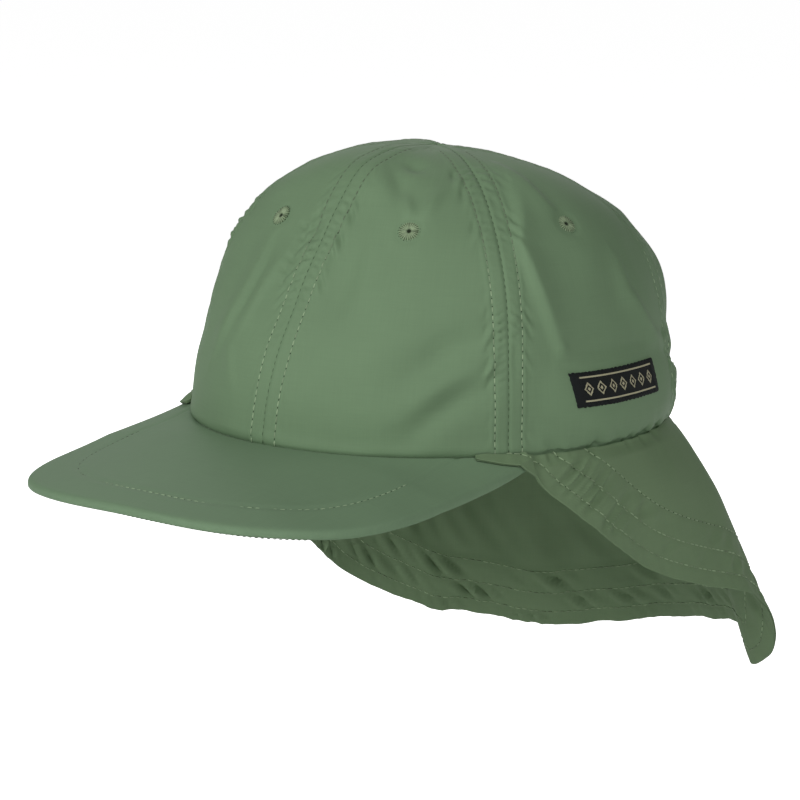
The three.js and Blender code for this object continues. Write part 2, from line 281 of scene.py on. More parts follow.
class Graph:
    """Adds nodes and links to one node tree."""

    def __init__(self, tree: bpy.types.NodeTree) -> None:
        """Keeps the tree that the nodes go into."""
        self.tree = tree

    def add(
        self,
        kind: str,
        settings: Mapping[str, object] | None = None,
        sockets: Mapping[str | int, object] | None = None,
    ) -> bpy.types.Node:
        """Adds a node.

        Args:
            kind: type name of the node.
            settings: properties of the node, set before its sockets.
            sockets: value, wire or socket for each input, by its name or number.

        Returns:
            The new node.
        """
        node = self.tree.nodes.new(kind)
        for key, value in (settings or {}).items():
            setattr(node, key, value)
        for key, value in (sockets or {}).items():
            source = value.socket if isinstance(value, Wire) else value
            if isinstance(source, bpy.types.NodeSocket):
                self.tree.links.new(source, node.inputs[key])
            else:
                node.inputs[key].default_value = source
        return node

    def mix(self, factor: "Wire", first: object, second: object) -> bpy.types.NodeSocket:
        """Colour between two colours.

        Args:
            factor: 0 for the first colour, 1 for the second.
            first: colour or colour socket.
            second: colour or colour socket.

        Returns:
            The mixed colour's socket.
        """
        node = self.add("ShaderNodeMix", {"data_type": "RGBA"}, {0: factor, 6: first, 7: second})
        return node.outputs[2]

    def cloth_place(self) -> tuple["Wire", "Wire"]:
        """Cloth coordinates across and up, in millimetres.

        Returns:
            The two coordinates.
        """
        uv = self.add("ShaderNodeUVMap", {"uv_map": UV_NAME})
        parts = self.add("ShaderNodeSeparateXYZ", None, {0: uv.outputs[0]})
        across = Wire(self, parts.outputs[0]) / CM_PER_MM
        return across, Wire(self, parts.outputs[1]) / CM_PER_MM

    def noise(self, x: "Wire", y: "Wire", detail: float = 2.0) -> "Wire":
        """Smooth random value of two coordinates, about 0 to 1.

        Args:
            x: first coordinate.
            y: second coordinate.
            detail: how much fine detail is added.

        Returns:
            The random value.
        """
        place = self.add("ShaderNodeCombineXYZ", None, {0: x, 1: y})
        node = self.add(
            "ShaderNodeTexNoise",
            {"noise_dimensions": "2D"},
            {"Vector": place.outputs[0], "Scale": 1.0, "Detail": detail},
        )
        return Wire(self, node.outputs[0])

    def named(self, attribute: str) -> "Wire":
        """Value of a number attribute of the mesh."""
        node = self.add("ShaderNodeAttribute", {"attribute_name": attribute})
        return Wire(self, node.outputs["Fac"])


@dataclass(frozen=True)
class Wire:
    """A socket that can be used in sums; each sum adds its Math node."""

    graph: Graph
    socket: bpy.types.NodeSocket

    def math(self, operation: str, *others: object, flip: bool = False) -> "Wire":
        """Adds a Math node.

        Args:
            operation: name of the operation.
            others: the further values or wires.
            flip: whether this wire is the second value and not the first.

        Returns:
            The result as a wire.
        """
        values = [*others, self] if flip else [self, *others]
        node = self.graph.add("ShaderNodeMath", {"operation": operation}, dict(enumerate(values)))
        return Wire(self.graph, node.outputs[0])

    def __add__(self, other: object) -> "Wire":
        """Sum."""
        return self.math("ADD", other)

    def __sub__(self, other: object) -> "Wire":
        """Difference."""
        return self.math("SUBTRACT", other)

    def __rsub__(self, other: object) -> "Wire":
        """Difference from a number."""
        return self.math("SUBTRACT", other, flip=True)

    def __mul__(self, other: object) -> "Wire":
        """Product."""
        return self.math("MULTIPLY", other)

    def __truediv__(self, other: object) -> "Wire":
        """Quotient."""
        return self.math("DIVIDE", other)

    __radd__ = __add__
    __rmul__ = __mul__

    def __abs__(self) -> "Wire":
        """Size without its sign."""
        return self.math("ABSOLUTE")

    def sine(self) -> "Wire":
        """Sine of an angle in radians."""
        return self.math("SINE")

    def fraction(self) -> "Wire":
        """Part after the decimal point."""
        return self.math("FRACT")

    def stepped(self, step: float) -> "Wire":
        """Value rounded to the nearest step, as threads round a woven picture."""
        return self.math("SNAP", step)

    def below(self, limit: float) -> "Wire":
        """1 where the value is below the limit and 0 elsewhere."""
        return self.math("LESS_THAN", limit)

    def most(self, other: object) -> "Wire":
        """The larger of two values."""
        return self.math("MAXIMUM", other)

    def ramp(self, start: float, end: float) -> "Wire":
        """Value's way from a start to an end, kept between 0 and 1."""
        share = (self - start) / (end - start)
        return share.math("MAXIMUM", 0.0).math("MINIMUM", 1.0)


def linear(red: int, green: int, blue: int) -> Colour:
    """Shader colour from a display colour of 0 to 255.

    Args:
        red: first channel.
        green: second channel.
        blue: third channel.

    Returns:
        The colour in linear light, opaque.
    """

    def convert(level: int) -> float:
        """One channel in linear light."""
        share = level / 255
        return share / 12.92 if share <= 0.04045 else ((share + 0.055) / 1.055) ** 2.4

    return (convert(red), convert(green), convert(blue), 1.0)


def scaled(colour: Colour, factor: float) -> Colour:
    """Colour made lighter or darker."""
    return (colour[0] * factor, colour[1] * factor, colour[2] * factor, 1.0)


def new_material(name: str) -> tuple[bpy.types.Material, Graph, bpy.types.Node]:
    """Material with its graph and its Principled shader.

    Args:
        name: name of the material.

    Returns:
        The material, its graph and its shader.
    """
    material = bpy.data.materials.new(name)
    material.use_nodes = True
    graph = Graph(material.node_tree)
    return material, graph, material.node_tree.nodes["Principled BSDF"]


# Finishes


@dataclass(frozen=True)
class ClothFinish:
    """Fine woven microfibre with a soft, low shine."""

    name: str
    colour: Colour
    roughness: float = 0.62
    specular: float = 0.07
    sheen: float = 0.01
    weave: float = 0.55
    slub_width: float = 0.55
    slub_length: float = 15.0
    patch: float = 40.0
    contrast: float = 0.07
    relief: float = 0.016

    def material(self) -> bpy.types.Material:
        """Builds the cloth's material.

        Returns:
            The material.
        """
        material, graph, shader = new_material(self.name)
        across, up = graph.cloth_place()
        wefts = graph.noise(across / self.slub_length, up / self.slub_width)
        warps = graph.noise(across / self.slub_width, up / self.slub_length)
        patches = graph.noise(across / self.patch, up / self.patch, detail=3.0)
        weave = (across * (TAU / self.weave)).sine() * (up * (TAU / self.weave)).sine()
        tone = (wefts + warps) * 0.5 + (patches - 0.5) * 0.9
        light = scaled(self.colour, 1 + self.contrast)
        dark = scaled(self.colour, 1 - self.contrast)
        height = wefts + warps + weave * 0.35
        bump = graph.add(
            "ShaderNodeBump",
            None,
            {"Strength": 1.0, "Distance": self.relief * MM, "Height": height},
        )
        sockets = shader.inputs
        graph.tree.links.new(graph.mix(tone, dark, light), sockets["Base Color"])
        graph.tree.links.new((self.roughness + (patches - 0.5) * 0.12).socket, sockets["Roughness"])
        graph.tree.links.new(bump.outputs[0], sockets["Normal"])
        sockets["Specular IOR Level"].default_value = self.specular
        sockets["Sheen Weight"].default_value = self.sheen
        sockets["Sheen Roughness"].default_value = 0.5
        return material


@dataclass(frozen=True)
class PaintedThreadShade:
    """Painted shade on thread: a direction and the two places along it between which the thread's colour
    darkens, as the shade that falls on it there.
    """

    axis: int
    start: float
    end: float
    # share by which the thread's colour is darkened: painted shade
    depth: float = 0.55


@dataclass(frozen=True)
class ThreadFinish:
    """Sewing thread, each stitch a little lighter or darker than the next, and with a fade painted darker
    along one direction as shade.
    """

    name: str
    colour: Colour
    contrast: float = 0.22
    roughness: float = 0.65
    twist: float = 0.5
    # painted shade: thread darkened along one direction, where it falls in shade
    fade: PaintedThreadShade | None = None

    def material(self) -> bpy.types.Material:
        """Builds the thread's material.

        Returns:
            The material.
        """
        material, graph, shader = new_material(self.name)
        # 'shade' is a random tone for each stitch; on an eyelet's base ring it is painted shade, dark in
        # the middle.
        shade = graph.named("shade")
        place = graph.add("ShaderNodeTexCoord")
        grain = graph.add(
            "ShaderNodeTexNoise",
            None,
            {"Vector": place.outputs["Object"], "Scale": 1 / (self.twist * MM), "Detail": 1.0},
        )
        bump = graph.add(
            "ShaderNodeBump",
            None,
            {"Strength": 0.6, "Distance": 0.05 * MM, "Height": grain.outputs[0]},
        )
        colour = graph.mix(
            shade, scaled(self.colour, 1 - self.contrast), scaled(self.colour, 1 + self.contrast)
        )
        # Painted shade: the thread darkens along one axis of the object, as the shade that falls on it
        # there.
        if self.fade:
            parts = graph.add("ShaderNodeSeparateXYZ", None, {0: place.outputs["Object"]})
            along = Wire(graph, parts.outputs[self.fade.axis])
            painted_shade = along.ramp(self.fade.start * MM, self.fade.end * MM)
            colour = graph.mix(painted_shade, colour, scaled(self.colour, 1 - self.fade.depth))
        graph.tree.links.new(colour, shader.inputs["Base Color"])
        graph.tree.links.new(bump.outputs[0], shader.inputs["Normal"])
        shader.inputs["Roughness"].default_value = self.roughness
        shader.inputs["Specular IOR Level"].default_value = 0.2
        return material


@dataclass(frozen=True)
class LabelFinish:
    """Damask weave: a row of small diamonds between two thin lines."""

    name: str
    ground: Colour
    figure: Colour
    half_height: float
    pick: float = 0.3
    period: float = 6.2
    diamond_width: float = 2.2
    diamond_height: float = 2.6
    line_inset: float = 2.1
    line_width: float = 0.32
    figure_reach: float = 21.7

    def material(self) -> bpy.types.Material:
        """Builds the label's material.

        Returns:
            The material.
        """
        material, graph, shader = new_material(self.name)
        across, up = graph.cloth_place()
        x = across.stepped(self.pick)
        y = abs(up.stepped(self.pick))
        beat = abs((x / self.period + 0.5).fraction() - 0.5) * self.period
        inside = beat / self.diamond_width + y / self.diamond_height
        outline = abs(inside - 0.86).below(0.15)
        heart = inside.below(0.3)
        lines = abs(y - (self.half_height - self.line_inset)).below(self.line_width)
        figure = outline.most(heart).most(lines) * abs(x).below(self.figure_reach)
        ribs = (up * (TAU / self.pick)).sine() * 0.5
        twill = ((across + up) * (TAU / (3 * self.pick))).sine() * 0.5
        fuzz = graph.noise(across * 2.0, up * 2.0, detail=4.0)
        shaded = graph.mix(fuzz, scaled(self.ground, 0.6), scaled(self.ground, 1.5))
        bump = graph.add(
            "ShaderNodeBump",
            None,
            {"Strength": 0.9, "Distance": 0.08 * MM, "Height": ribs + twill + figure + fuzz},
        )
        links = graph.tree.links
        links.new(graph.mix(figure, shaded, self.figure), shader.inputs["Base Color"])
        links.new((figure * -0.2 + 0.82).socket, shader.inputs["Roughness"])
        links.new(bump.outputs[0], shader.inputs["Normal"])
        shader.inputs["Specular IOR Level"].default_value = 0.25
        return material


# Thread


@dataclass
class ThreadPath:
    """A line that thread follows over a face of cloth, in millimetres."""

    points: Array
    normals: Array
    aims: Array | None = None

    def trimmed(self, start: float, end: float = 0.0) -> "ThreadPath":
        """The path without a length at each of its ends.

        Args:
            start: length taken off the start.
            end: length taken off the end.

        Returns:
            The shorter path.
        """
        run = run_length(self.points)
        keep = np.linspace(start, run[-1] - end, len(run))
        pick = [np.stack([np.interp(keep, run, g[:, k]) for k in range(3)], -1) for g in
                (self.points, self.normals)]
        return ThreadPath(pick[0], unit(pick[1]))


class ThreadTree:
    """Geometry Nodes tree that lays stitches end to end along paths."""

    SIZES = ("Pitch", "Length", "Width", "Height", "Dip")

    def __init__(self) -> None:
        """Builds the tree."""
        self.tree = bpy.data.node_groups.new("stitches_along_path", "GeometryNodeTree")
        self._sockets()
        graph = Graph(self.tree)
        ends = graph.add("NodeGroupInput")
        line = graph.add("GeometryNodeMeshToCurve", None, {"Mesh": ends.outputs["Geometry"]})
        spaced = graph.add(
            "GeometryNodeResampleCurve",
            {"mode": "LENGTH"},
            {"Curve": line.outputs[0], "Length": ends.outputs["Pitch"]},
        )
        aim = self._named_vector(graph, "aim")
        normal = self._named_vector(graph, "normal")
        turn = graph.add(
            "FunctionNodeAxesToRotation",
            {"primary_axis": "Z", "secondary_axis": "X"},
            {"Primary Axis": normal, "Secondary Axis": aim},
        )
        placed = graph.add(
            "GeometryNodeInstanceOnPoints",
            None,
            {
                "Points": spaced.outputs[0],
                "Instance": self._stitch(graph, ends),
                "Rotation": turn.outputs[0],
            },
        )
        chance = graph.add("FunctionNodeRandomValue", {"data_type": "FLOAT"}, {"Seed": 11})
        shaded = graph.add(
            "GeometryNodeStoreNamedAttribute",
            {"data_type": "FLOAT", "domain": "INSTANCE"},
            {"Geometry": placed.outputs[0], "Name": "shade", "Value": chance.outputs[1]},
        )
        real = graph.add("GeometryNodeRealizeInstances", None, {0: shaded.outputs[0]})
        finished = graph.add(
            "GeometryNodeSetMaterial",
            None,
            {"Geometry": real.outputs[0], "Material": ends.outputs["Thread"]},
        )
        graph.add("NodeGroupOutput", None, {0: finished.outputs[0]})

    def _sockets(self) -> None:
        """Adds the tree's named inputs and its output."""
        face = self.tree.interface
        face.new_socket("Geometry", in_out="INPUT", socket_type="NodeSocketGeometry")
        for name in self.SIZES:
            face.new_socket(name, in_out="INPUT", socket_type="NodeSocketFloat")
        face.new_socket("Thread", in_out="INPUT", socket_type="NodeSocketMaterial")
        face.new_socket("Geometry", in_out="OUTPUT", socket_type="NodeSocketGeometry")

    def _named_vector(self, graph: Graph, name: str) -> bpy.types.NodeSocket:
        """Vector attribute of the path's points.

        Args:
            graph: the tree's graph.
            name: the attribute's name.

        Returns:
            The socket that gives the vector.
        """
        node = graph.add(
            "GeometryNodeInputNamedAttribute", {"data_type": "FLOAT_VECTOR"}, {"Name": name}
        )
        return node.outputs[0]

    def _stitch(self, graph: Graph, ends: bpy.types.Node) -> bpy.types.NodeSocket:
        """One stitch: a slim bead whose two ends dip into the cloth.

        Args:
            graph: the tree's graph.
            ends: the tree's inputs.

        Returns:
            The socket that gives the stitch.
        """
        ball = graph.add(
            "GeometryNodeMeshUVSphere", None, {"Segments": 6, "Rings": 6, "Radius": 0.5}
        )
        lying = graph.add(
            "GeometryNodeTransform",
            None,
            {"Geometry": ball.outputs[0], "Rotation": (0, math.pi / 2, 0)},
        )
        size = graph.add(
            "ShaderNodeCombineXYZ",
            None,
            {0: ends.outputs["Length"], 1: ends.outputs["Width"], 2: ends.outputs["Height"]},
        )
        sized = graph.add(
            "GeometryNodeTransform",
            None,
            {"Geometry": lying.outputs[0], "Scale": size.outputs[0]},
        )
        place = graph.add("GeometryNodeInputPosition")
        parts = graph.add("ShaderNodeSeparateXYZ", None, {0: place.outputs[0]})
        share = Wire(graph, parts.outputs[0]) / Wire(graph, ends.outputs["Length"]) * 2
        drop = share * share * Wire(graph, ends.outputs["Dip"]) * -1
        offset = graph.add("ShaderNodeCombineXYZ", None, {2: drop})
        bent = graph.add(
            "GeometryNodeSetPosition",
            None,
            {"Geometry": sized.outputs[0], "Offset": offset.outputs[0]},
        )
        return bent.outputs[0]

    def identifier(self, name: str) -> str:
        """Identifier of a named input.

        Args:
            name: the input's name.

        Returns:
            The identifier.
        """
        for item in self.tree.interface.items_tree:
            if item.item_type == "SOCKET" and item.in_out == "INPUT" and item.name == name:
                return item.identifier
        raise KeyError(name)


@dataclass
class ThreadRun:
    """One kind of stitch, in millimetres."""

    pitch: float
    length: float
    width: float
    height: float
    dip: float
    lift: float = 0.0

    def sew(
        self,
        name: str,
        paths: Sequence[ThreadPath],
        tree: ThreadTree,
        thread: bpy.types.Material,
    ) -> bpy.types.Object:
        """Lays the stitches along paths.

        Args:
            name: name of the new object.
            paths: lines that the stitches follow.
            tree: the tree that lays them.
            thread: their material.

        Returns:
            The stitches as a plain mesh.
        """
        piece = self._path_object(name, paths)
        modifier = piece.modifiers.new("stitches", "NODES")
        modifier.node_group = tree.tree
        sizes = (self.pitch, self.length, self.width, self.height, self.dip)
        for label, size in zip(tree.SIZES, sizes):
            modifier[tree.identifier(label)] = size * MM
        modifier[tree.identifier("Thread")] = thread
        depsgraph = bpy.context.evaluated_depsgraph_get()
        mesh = bpy.data.meshes.new_from_object(piece.evaluated_get(depsgraph))
        piece.modifiers.clear()
        piece.data = mesh
        mesh.name = name
        mesh.shade_smooth()
        return piece

    def _path_object(self, name: str, paths: Sequence[ThreadPath]) -> bpy.types.Object:
        """Object whose edges are the paths, with the directions stitches take on them.

        Args:
            name: name of the new object.
            paths: the lines.

        Returns:
            The object.
        """
        points, normals, aims, edges = [], [], [], []
        count = 0
        for path in paths:
            number = len(path.points)
            points.append(path.points + path.normals * self.lift)
            normals.append(path.normals)
            aims.append(np.gradient(path.points, axis=0) if path.aims is None else path.aims)
            edges += [(count + k, count + k + 1) for k in range(number - 1)]
            count += number
        mesh = bpy.data.meshes.new(name)
        mesh.from_pydata((np.concatenate(points) * MM).tolist(), edges, [])
        for label, values in (("normal", normals), ("aim", aims)):
            layer = mesh.attributes.new(label, "FLOAT_VECTOR", "POINT")
            layer.data.foreach_set("vector", unit(np.concatenate(values)).astype(np.float32).ravel())
        piece = bpy.data.objects.new(name, mesh)
        bpy.context.scene.collection.objects.link(piece)
        return piece


# Crown


class Profile(NamedTuple):
    """How the crown's reach shrinks as it climbs: a power and two shares of the reach."""

    taper: float
    belly: float
    shoulder: float


class Crease(NamedTuple):
    """A fold in the crown: its line as turns and shares of the height, then its section."""

    line: tuple[tuple[float, float], ...]
    height: float
    before: float
    after: float


CROWN_CREASES = (
    Crease(((-26, 0.73), (-22.5, 0.6), (-22.2, 0.48), (-23.5, 0.37), (-25.5, 0.27)), 1.0, 2.2, 7),
    Crease(((-13, 0.64), (-14.3, 0.54), (-15.5, 0.46), (-16, 0.37)), 0.8, 2.0, 5),
    Crease(((-19.5, 0.32), (-16.2, 0.26), (-11.8, 0.16)), 0.5, 2, 4),
    Crease(((-8.2, 0.79), (-6.8, 0.75), (-5.4, 0.7)), -0.9, 2.6, 1.6),
    Crease(((-9.3, 0.725), (-14.3, 0.743)), -0.6, 1.5, 1.5),
    Crease(((-6.9, 0.688), (-11, 0.703)), -0.55, 1.3, 1.3),
    Crease(((-6.9, 0.613), (-12, 0.633)), -0.55, 1.4, 1.4),
    Crease(((-6.8, 0.575), (-11.5, 0.596)), -0.45, 1.3, 1.3),
    Crease(((-6.3, 0.531), (-10, 0.549)), -0.45, 1.3, 1.3),
    Crease(((13.5, 0.82), (14.5, 0.7), (14.8, 0.6), (13.5, 0.5), (11.5, 0.41)), -1.1, 6, 8),
    Crease(((15.5, 0.96), (23.8, 0.914), (29, 0.86)), -1.1, 4, 4),
    Crease(((29.5, 0.87), (31.8, 0.82), (33.2, 0.78)), 0.8, 2.4, 2.4),
    Crease(((43, 0.88), (39.8, 0.833), (36.8, 0.787)), 0.9, 3, 3),
    Crease(((54, 0.42), (46, 0.373), (40, 0.309), (33, 0.24)), -1.3, 7, 7),
    Crease(((54, 0.33), (46, 0.27), (40.2, 0.208), (35, 0.14)), 0.9, 5, 6),
    Crease(((54, 0.25), (47.2, 0.198), (41.5, 0.136), (36, 0.06)), -1.1, 5, 6),
    Crease(((72, 0.89), (66.2, 0.722), (67.8, 0.605), (71, 0.454), (73.2, 0.34)), 1.3, 6, 2.4),
    Crease(((72, 0.86), (66.2, 0.722), (67.8, 0.605), (71, 0.454), (73.2, 0.34)), 0.26, 2, 1.2),
    Crease(((76.5, 0.96), (78.2, 0.905), (79.2, 0.844), (82, 0.785)), 1.2, 3, 7),
    Crease(((96, 0.65), (96.8, 0.531), (101.5, 0.44), (107.5, 0.353), (117, 0.3)), 1.2, 3, 5),
    Crease(((72.5, 0.38), (74.8, 0.345)), 0.5, 1.8, 1.8),
    Crease(((22, 0.97), (29.5, 0.954), (36, 0.945)), -1.2, 4, 4),
    Crease(((134, 0.66), (131, 0.56), (129, 0.44), (128, 0.37)), 0.6, 5, 4),
    Crease(((112, 0.3), (121, 0.25), (130, 0.21), (138, 0.21)), -1.1, 4, 3),
    Crease(((152, 0.97), (142, 0.91), (137, 0.84), (134, 0.75)), -1.0, 28, 28),
    Crease(((300, 0.5), (306, 0.32), (309, 0.14)), -0.6, 9, 9),
    Crease(((163, 0.72), (160, 0.55), (164, 0.38)), 0.8, 4, 4),
    Crease(((196, 0.84), (201, 0.66), (198, 0.5), (203, 0.34)), 1.0, 5, 4),
    Crease(((222, 0.62), (228, 0.46), (233, 0.3)), 0.9, 4, 4),
    Crease(((252, 0.8), (257, 0.64), (255, 0.5), (262, 0.32)), 1.1, 5, 3),
    Crease(((284, 0.66), (288, 0.5), (282, 0.36)), 0.8, 4, 4),
    Crease(((305, 0.44), (311, 0.36), (318, 0.28)), -0.9, 6, 6),
)


class Pull(NamedTuple):
    """A stretch of a seam, in millimetres up the cloth, that its stitches pucker."""

    seam: int
    low: float
    high: float


SEAM_PULLS = (
    Pull(0, 52, 96),
    Pull(1, 28, 54),
    Pull(1, 82, 118),
    Pull(2, 8, 40),
    Pull(3, 52, 82),
    Pull(4, 20, 60),
    Pull(5, 66, 90),
)


class Pucker(NamedTuple):
    """Ripples in a strip beside a seam: their height and form, then the strip."""

    height: float
    wavelength: float
    lean: float
    seed: int
    place: float
    width: float


INNER_PUCKER = Pucker(0.95, 8.4, 0.35, 60, 2.8, 1.7)
OUTER_PUCKER = Pucker(0.55, 7.5, 1.4, 90, 7.6, 2.0)


@dataclass(frozen=True)
class Rim:
    """How the cloth rolls in and gathers along the rim."""

    gather_turns: tuple[float, float] = (63.0, 70.0)
    fold: float = 0.3
    folds: Ripple = Ripple(10.5, 71)
    slant: float = 0.4
    slants: Ripple = Ripple(9.0, 73)
    lean: float = 0.9
    reach: float = 5.5
    notch: float = 2.6
    notches: Ripple = Ripple(13.0, 72)
    notch_floor: float = 0.35
    notch_reach: float = 2.4
    roll: float = 0.35
    roll_height: float = 2.6
    roll_width: float = 2.2
    pinch: float = 0.2
    pinch_width: float = 0.8
    tuck: float = 1.0
    tuck_heights: tuple[float, float] = (-0.6, 0.8)

    def relief(self, gathered: Array, along: Array, z: Array) -> Array:
        """How far the cloth stands out near the rim.

        Args:
            gathered: 1 where the rim is gathered, 0 over the peak.
            along: distance along the rim.
            z: height above the rim.

        Returns:
            The relief at each place.
        """
        near = np.maximum(z, 0)
        notches = np.maximum(-self.notches(along) - self.notch_floor, 0)
        slants = self.slants(along + self.lean * near)
        pulled = (self.fold * self.folds(along) + self.slant * slants) * np.exp(-near / self.reach)
        pulled = pulled - self.notch * notches * np.exp(-near / self.notch_reach)
        rolled = self.roll * bell(z - self.roll_height, self.roll_width)
        rolled = rolled - self.pinch * bell(z, self.pinch_width)
        tucked = -self.tuck * (1 - smooth_step(z, *self.tuck_heights))
        return gathered * pulled + (1 - gathered) * rolled + tucked


EYELET_SECTION = (
    (0.02, -0.8), (0.35, -0.7), (0.55, -0.1), (1.1, 0.1), (2.4, 0.18), (3.4, 0.1),
    (3.8, -0.12), (4.05, -0.5), (3.9, -1.0), (2.2, -1.1), (1.0, -1.1), (0.02, -1.1),
)


@dataclass
class Crown:
    """Six-panel crown: its form, its panels, their stitching and the eyelets."""

    half_width: float = 88.0
    half_length: float = side_of("crown_panel_front_left", 1, high=False)
    height: float = side_of("crown_panel_front_left", 2)
    band_height: float = side_of("crown_panel_front_left", 2, high=False)
    wall: float = 1.1
    rise_power: float = 0.57
    tip_radius: float = 0.2
    settle: float = 0.35
    front: Profile = Profile(0.763, -0.18, -0.044)
    side: Profile = Profile(0.809, -0.026, 0.017)
    back: Profile = Profile(1.38, -0.01, 0.045)
    puff_depth: float = 4.5
    puff_height: float = 36.0
    puff_skew: float = 0.6
    puff_turns: tuple[float, float] = (64.0, 86.0)
    seam_offset: float = 5.5
    crease_scale: float = 1.8
    seam_depth: float = 0.5
    seam_swell: float = 0.3
    seam_swell_edge: tuple[float, float] = (5.9, 8.2)
    seam_width: float = 0.55
    stitch_dent: float = 0.3
    stitch_dent_width: float = 0.6
    swells: tuple[tuple[float, Swell], ...] = ((0.55, Swell(62, 5)), (0.22, Swell(27, 6)))
    pucker_rest: float = 0.16
    pucker_floor: float = 0.6
    pull_fade: float = 6.0
    crease_steps: int = 6
    crease_end: float = 0.08
    crease_fade: float = 0.8
    rim: Rim = Rim()
    rim_hold: tuple[float, float] = (-0.5, 4.5)
    inner_relief: float = 0.6
    eyelet_depth: float = 1.4
    eyelet_slope: tuple[float, float] = (1.2, 3.9)
    eyelet_pull: float = 0.35
    eyelet_pull_radius: float = 4.7
    eyelet_pull_width: float = 0.9
    eyelet_proud: float = 0.15
    eyelet_thread: tuple[float, float] = (2.4, 0.13)
    # radius and lift of the ring of dark beads painted as shade round each eyelet
    eyelet_hole_shade: tuple[float, float] = (4.15, -0.22)
    eyelet_calm: float = 7.0
    label_calm_turns: tuple[float, float] = (16.0, 22.0)
    label_calm_heights: tuple[float, float] = (7.0, 13.0)
    fine_zone: float = 9.5
    fine_columns: int = 18
    wide_columns: int = 58
    rows: int = 190
    stitch_from: float = 1.5
    stitch_top: float = 0.99
    seam_top: float = 0.998
    label_turn: float = 90.0
    label_rise: float = 22.6
    panel_names: tuple[str, ...] = (
        "front_left",
        "side_left",
        "back_left",
        "back_right",
        "side_right",
        "front_right",
    )
    eyelet_places: list[tuple[float, float]] = field(init=False, repr=False)
    _climb: Array = field(init=False, repr=False)
    _rises: Array = field(init=False, repr=False)

    def __post_init__(self) -> None:
        """Finds the eyelets and measures how far each height is up the cloth."""
        self.eyelet_places = [self._place(f"eyelet_{name}") for name in self.panel_names]
        angle = np.linspace(0, math.pi / 2, 900)
        self._rises = np.sin(angle) ** self.rise_power
        middle = np.radians(PANEL_TURN / 2)
        self._climb = run_length(self.point(np.full_like(angle, middle), self._rises))

    def _place(self, node: str) -> tuple[float, float]:
        """Turn in degrees and height share of a node on the crown.

        Args:
            node: the node's name.

        Returns:
            The turn and the height share.
        """
        low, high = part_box(node)
        x, y, z = ((low + high) / 2) / MM
        turn = math.degrees(math.atan2(x / self.half_width, -y / self.half_length))
        return turn % 360, z / self.height

    def point(self, turn: Array, rise: Array) -> Array:
        """Smooth form of the crown.

        Args:
            turn: direction round the crown from the front, in radians.
            rise: share of the height, negative on the band below the rim.

        Returns:
            The points, with one more axis of 3.
        """
        turn, rise = np.broadcast_arrays(turn, rise)
        share = np.clip(rise, 0, 1)
        climb = np.arcsin(np.minimum(share ** (1 / self.rise_power), 1))
        along = np.cos(turn)
        weights = (
            (self.front, np.where(along > 0, along * along, 0)),
            (self.side, np.sin(turn) ** 2),
            (self.back, np.where(along < 0, along * along, 0)),
        )
        reach = np.zeros_like(share)
        for row, weight in weights:
            narrow = np.maximum(np.cos(climb), 1e-9) ** row.taper
            curve = row.belly * np.sin(2 * climb) + row.shoulder * np.sin(4 * climb)
            reach = reach + weight * (narrow + curve)
        z = rise * self.height
        x = self.half_width * np.sin(turn)
        y = -self.half_length * np.cos(turn)
        rim = np.hypot(x, y)
        out = np.maximum(reach * rim + self.puff(turn, z), self.tip_radius) / rim
        return np.stack([x * out, y * out, np.minimum(z, self.height)], -1)

    def puff(self, turn: Array, z: Array) -> Array:
        """How far the cloth puffs out over the gathered rim.

        Args:
            turn: direction in radians.
            z: height above the rim.

        Returns:
            The distance.
        """
        share = np.clip(z / self.puff_height, 0, 1)
        amount = smooth_step(side_turn(turn), *self.puff_turns)
        return self.puff_depth * amount * np.sin(np.pi * share**self.puff_skew)

    def normal(self, turn: Array, rise: Array) -> Array:
        """Outward unit normals, level on the band below the rim.

        Args:
            turn: direction in radians.
            rise: share of the height.

        Returns:
            The normals, with one more axis of 3.
        """
        inside = np.clip(rise, 0.002, 0.997)
        step = 0.003
        round_ = self.point(turn + step, inside) - self.point(turn - step, inside)
        up = self.point(turn, inside + 0.002) - self.point(turn, inside - 0.002)
        normals = unit(np.cross(round_, up))
        normals[..., 2] = np.where(rise < 0, 0, normals[..., 2])
        return unit(normals)

    def climb(self, rise: Array) -> Array:
        """Distance up the cloth from the rim."""
        below = np.minimum(rise, 0) * self.height
        return np.interp(rise, self._rises, self._climb) + below

    def seat(self, turn: Array) -> Array:
        """How far outside the rim the sewn cloth lies, by direction seen from above.

        Args:
            turn: direction from the front, in radians.

        Returns:
            The distance, negative inside.
        """
        x, y = np.sin(turn), -np.cos(turn)
        around = np.arctan2(x / self.half_width, -y / self.half_length)
        sewn = np.linalg.norm(self.face(around, np.zeros_like(around))[..., :2], axis=-1)
        return sewn - 1 / np.hypot(x / self.half_width, y / self.half_length)

    def seam_distance(self, turn: Array, rise: Array) -> tuple[Array, Array]:
        """Nearest seam and the signed distance from it over the cloth.

        Args:
            turn: direction in radians.
            rise: share of the height.

        Returns:
            The seam's number and the distance.
        """
        width = np.radians(PANEL_TURN)
        seam = np.round(turn / width)
        gap = turn - seam * width
        steps, small = 6, 0.002
        total = np.zeros_like(gap)
        for k in range(steps):
            middle = seam * width + gap * (k + 0.5) / steps
            ahead = self.point(middle + small, rise) - self.point(middle - small, rise)
            total = total + np.linalg.norm(ahead, axis=-1) / (2 * small)
        return seam.astype(int) % 6, total / steps * gap

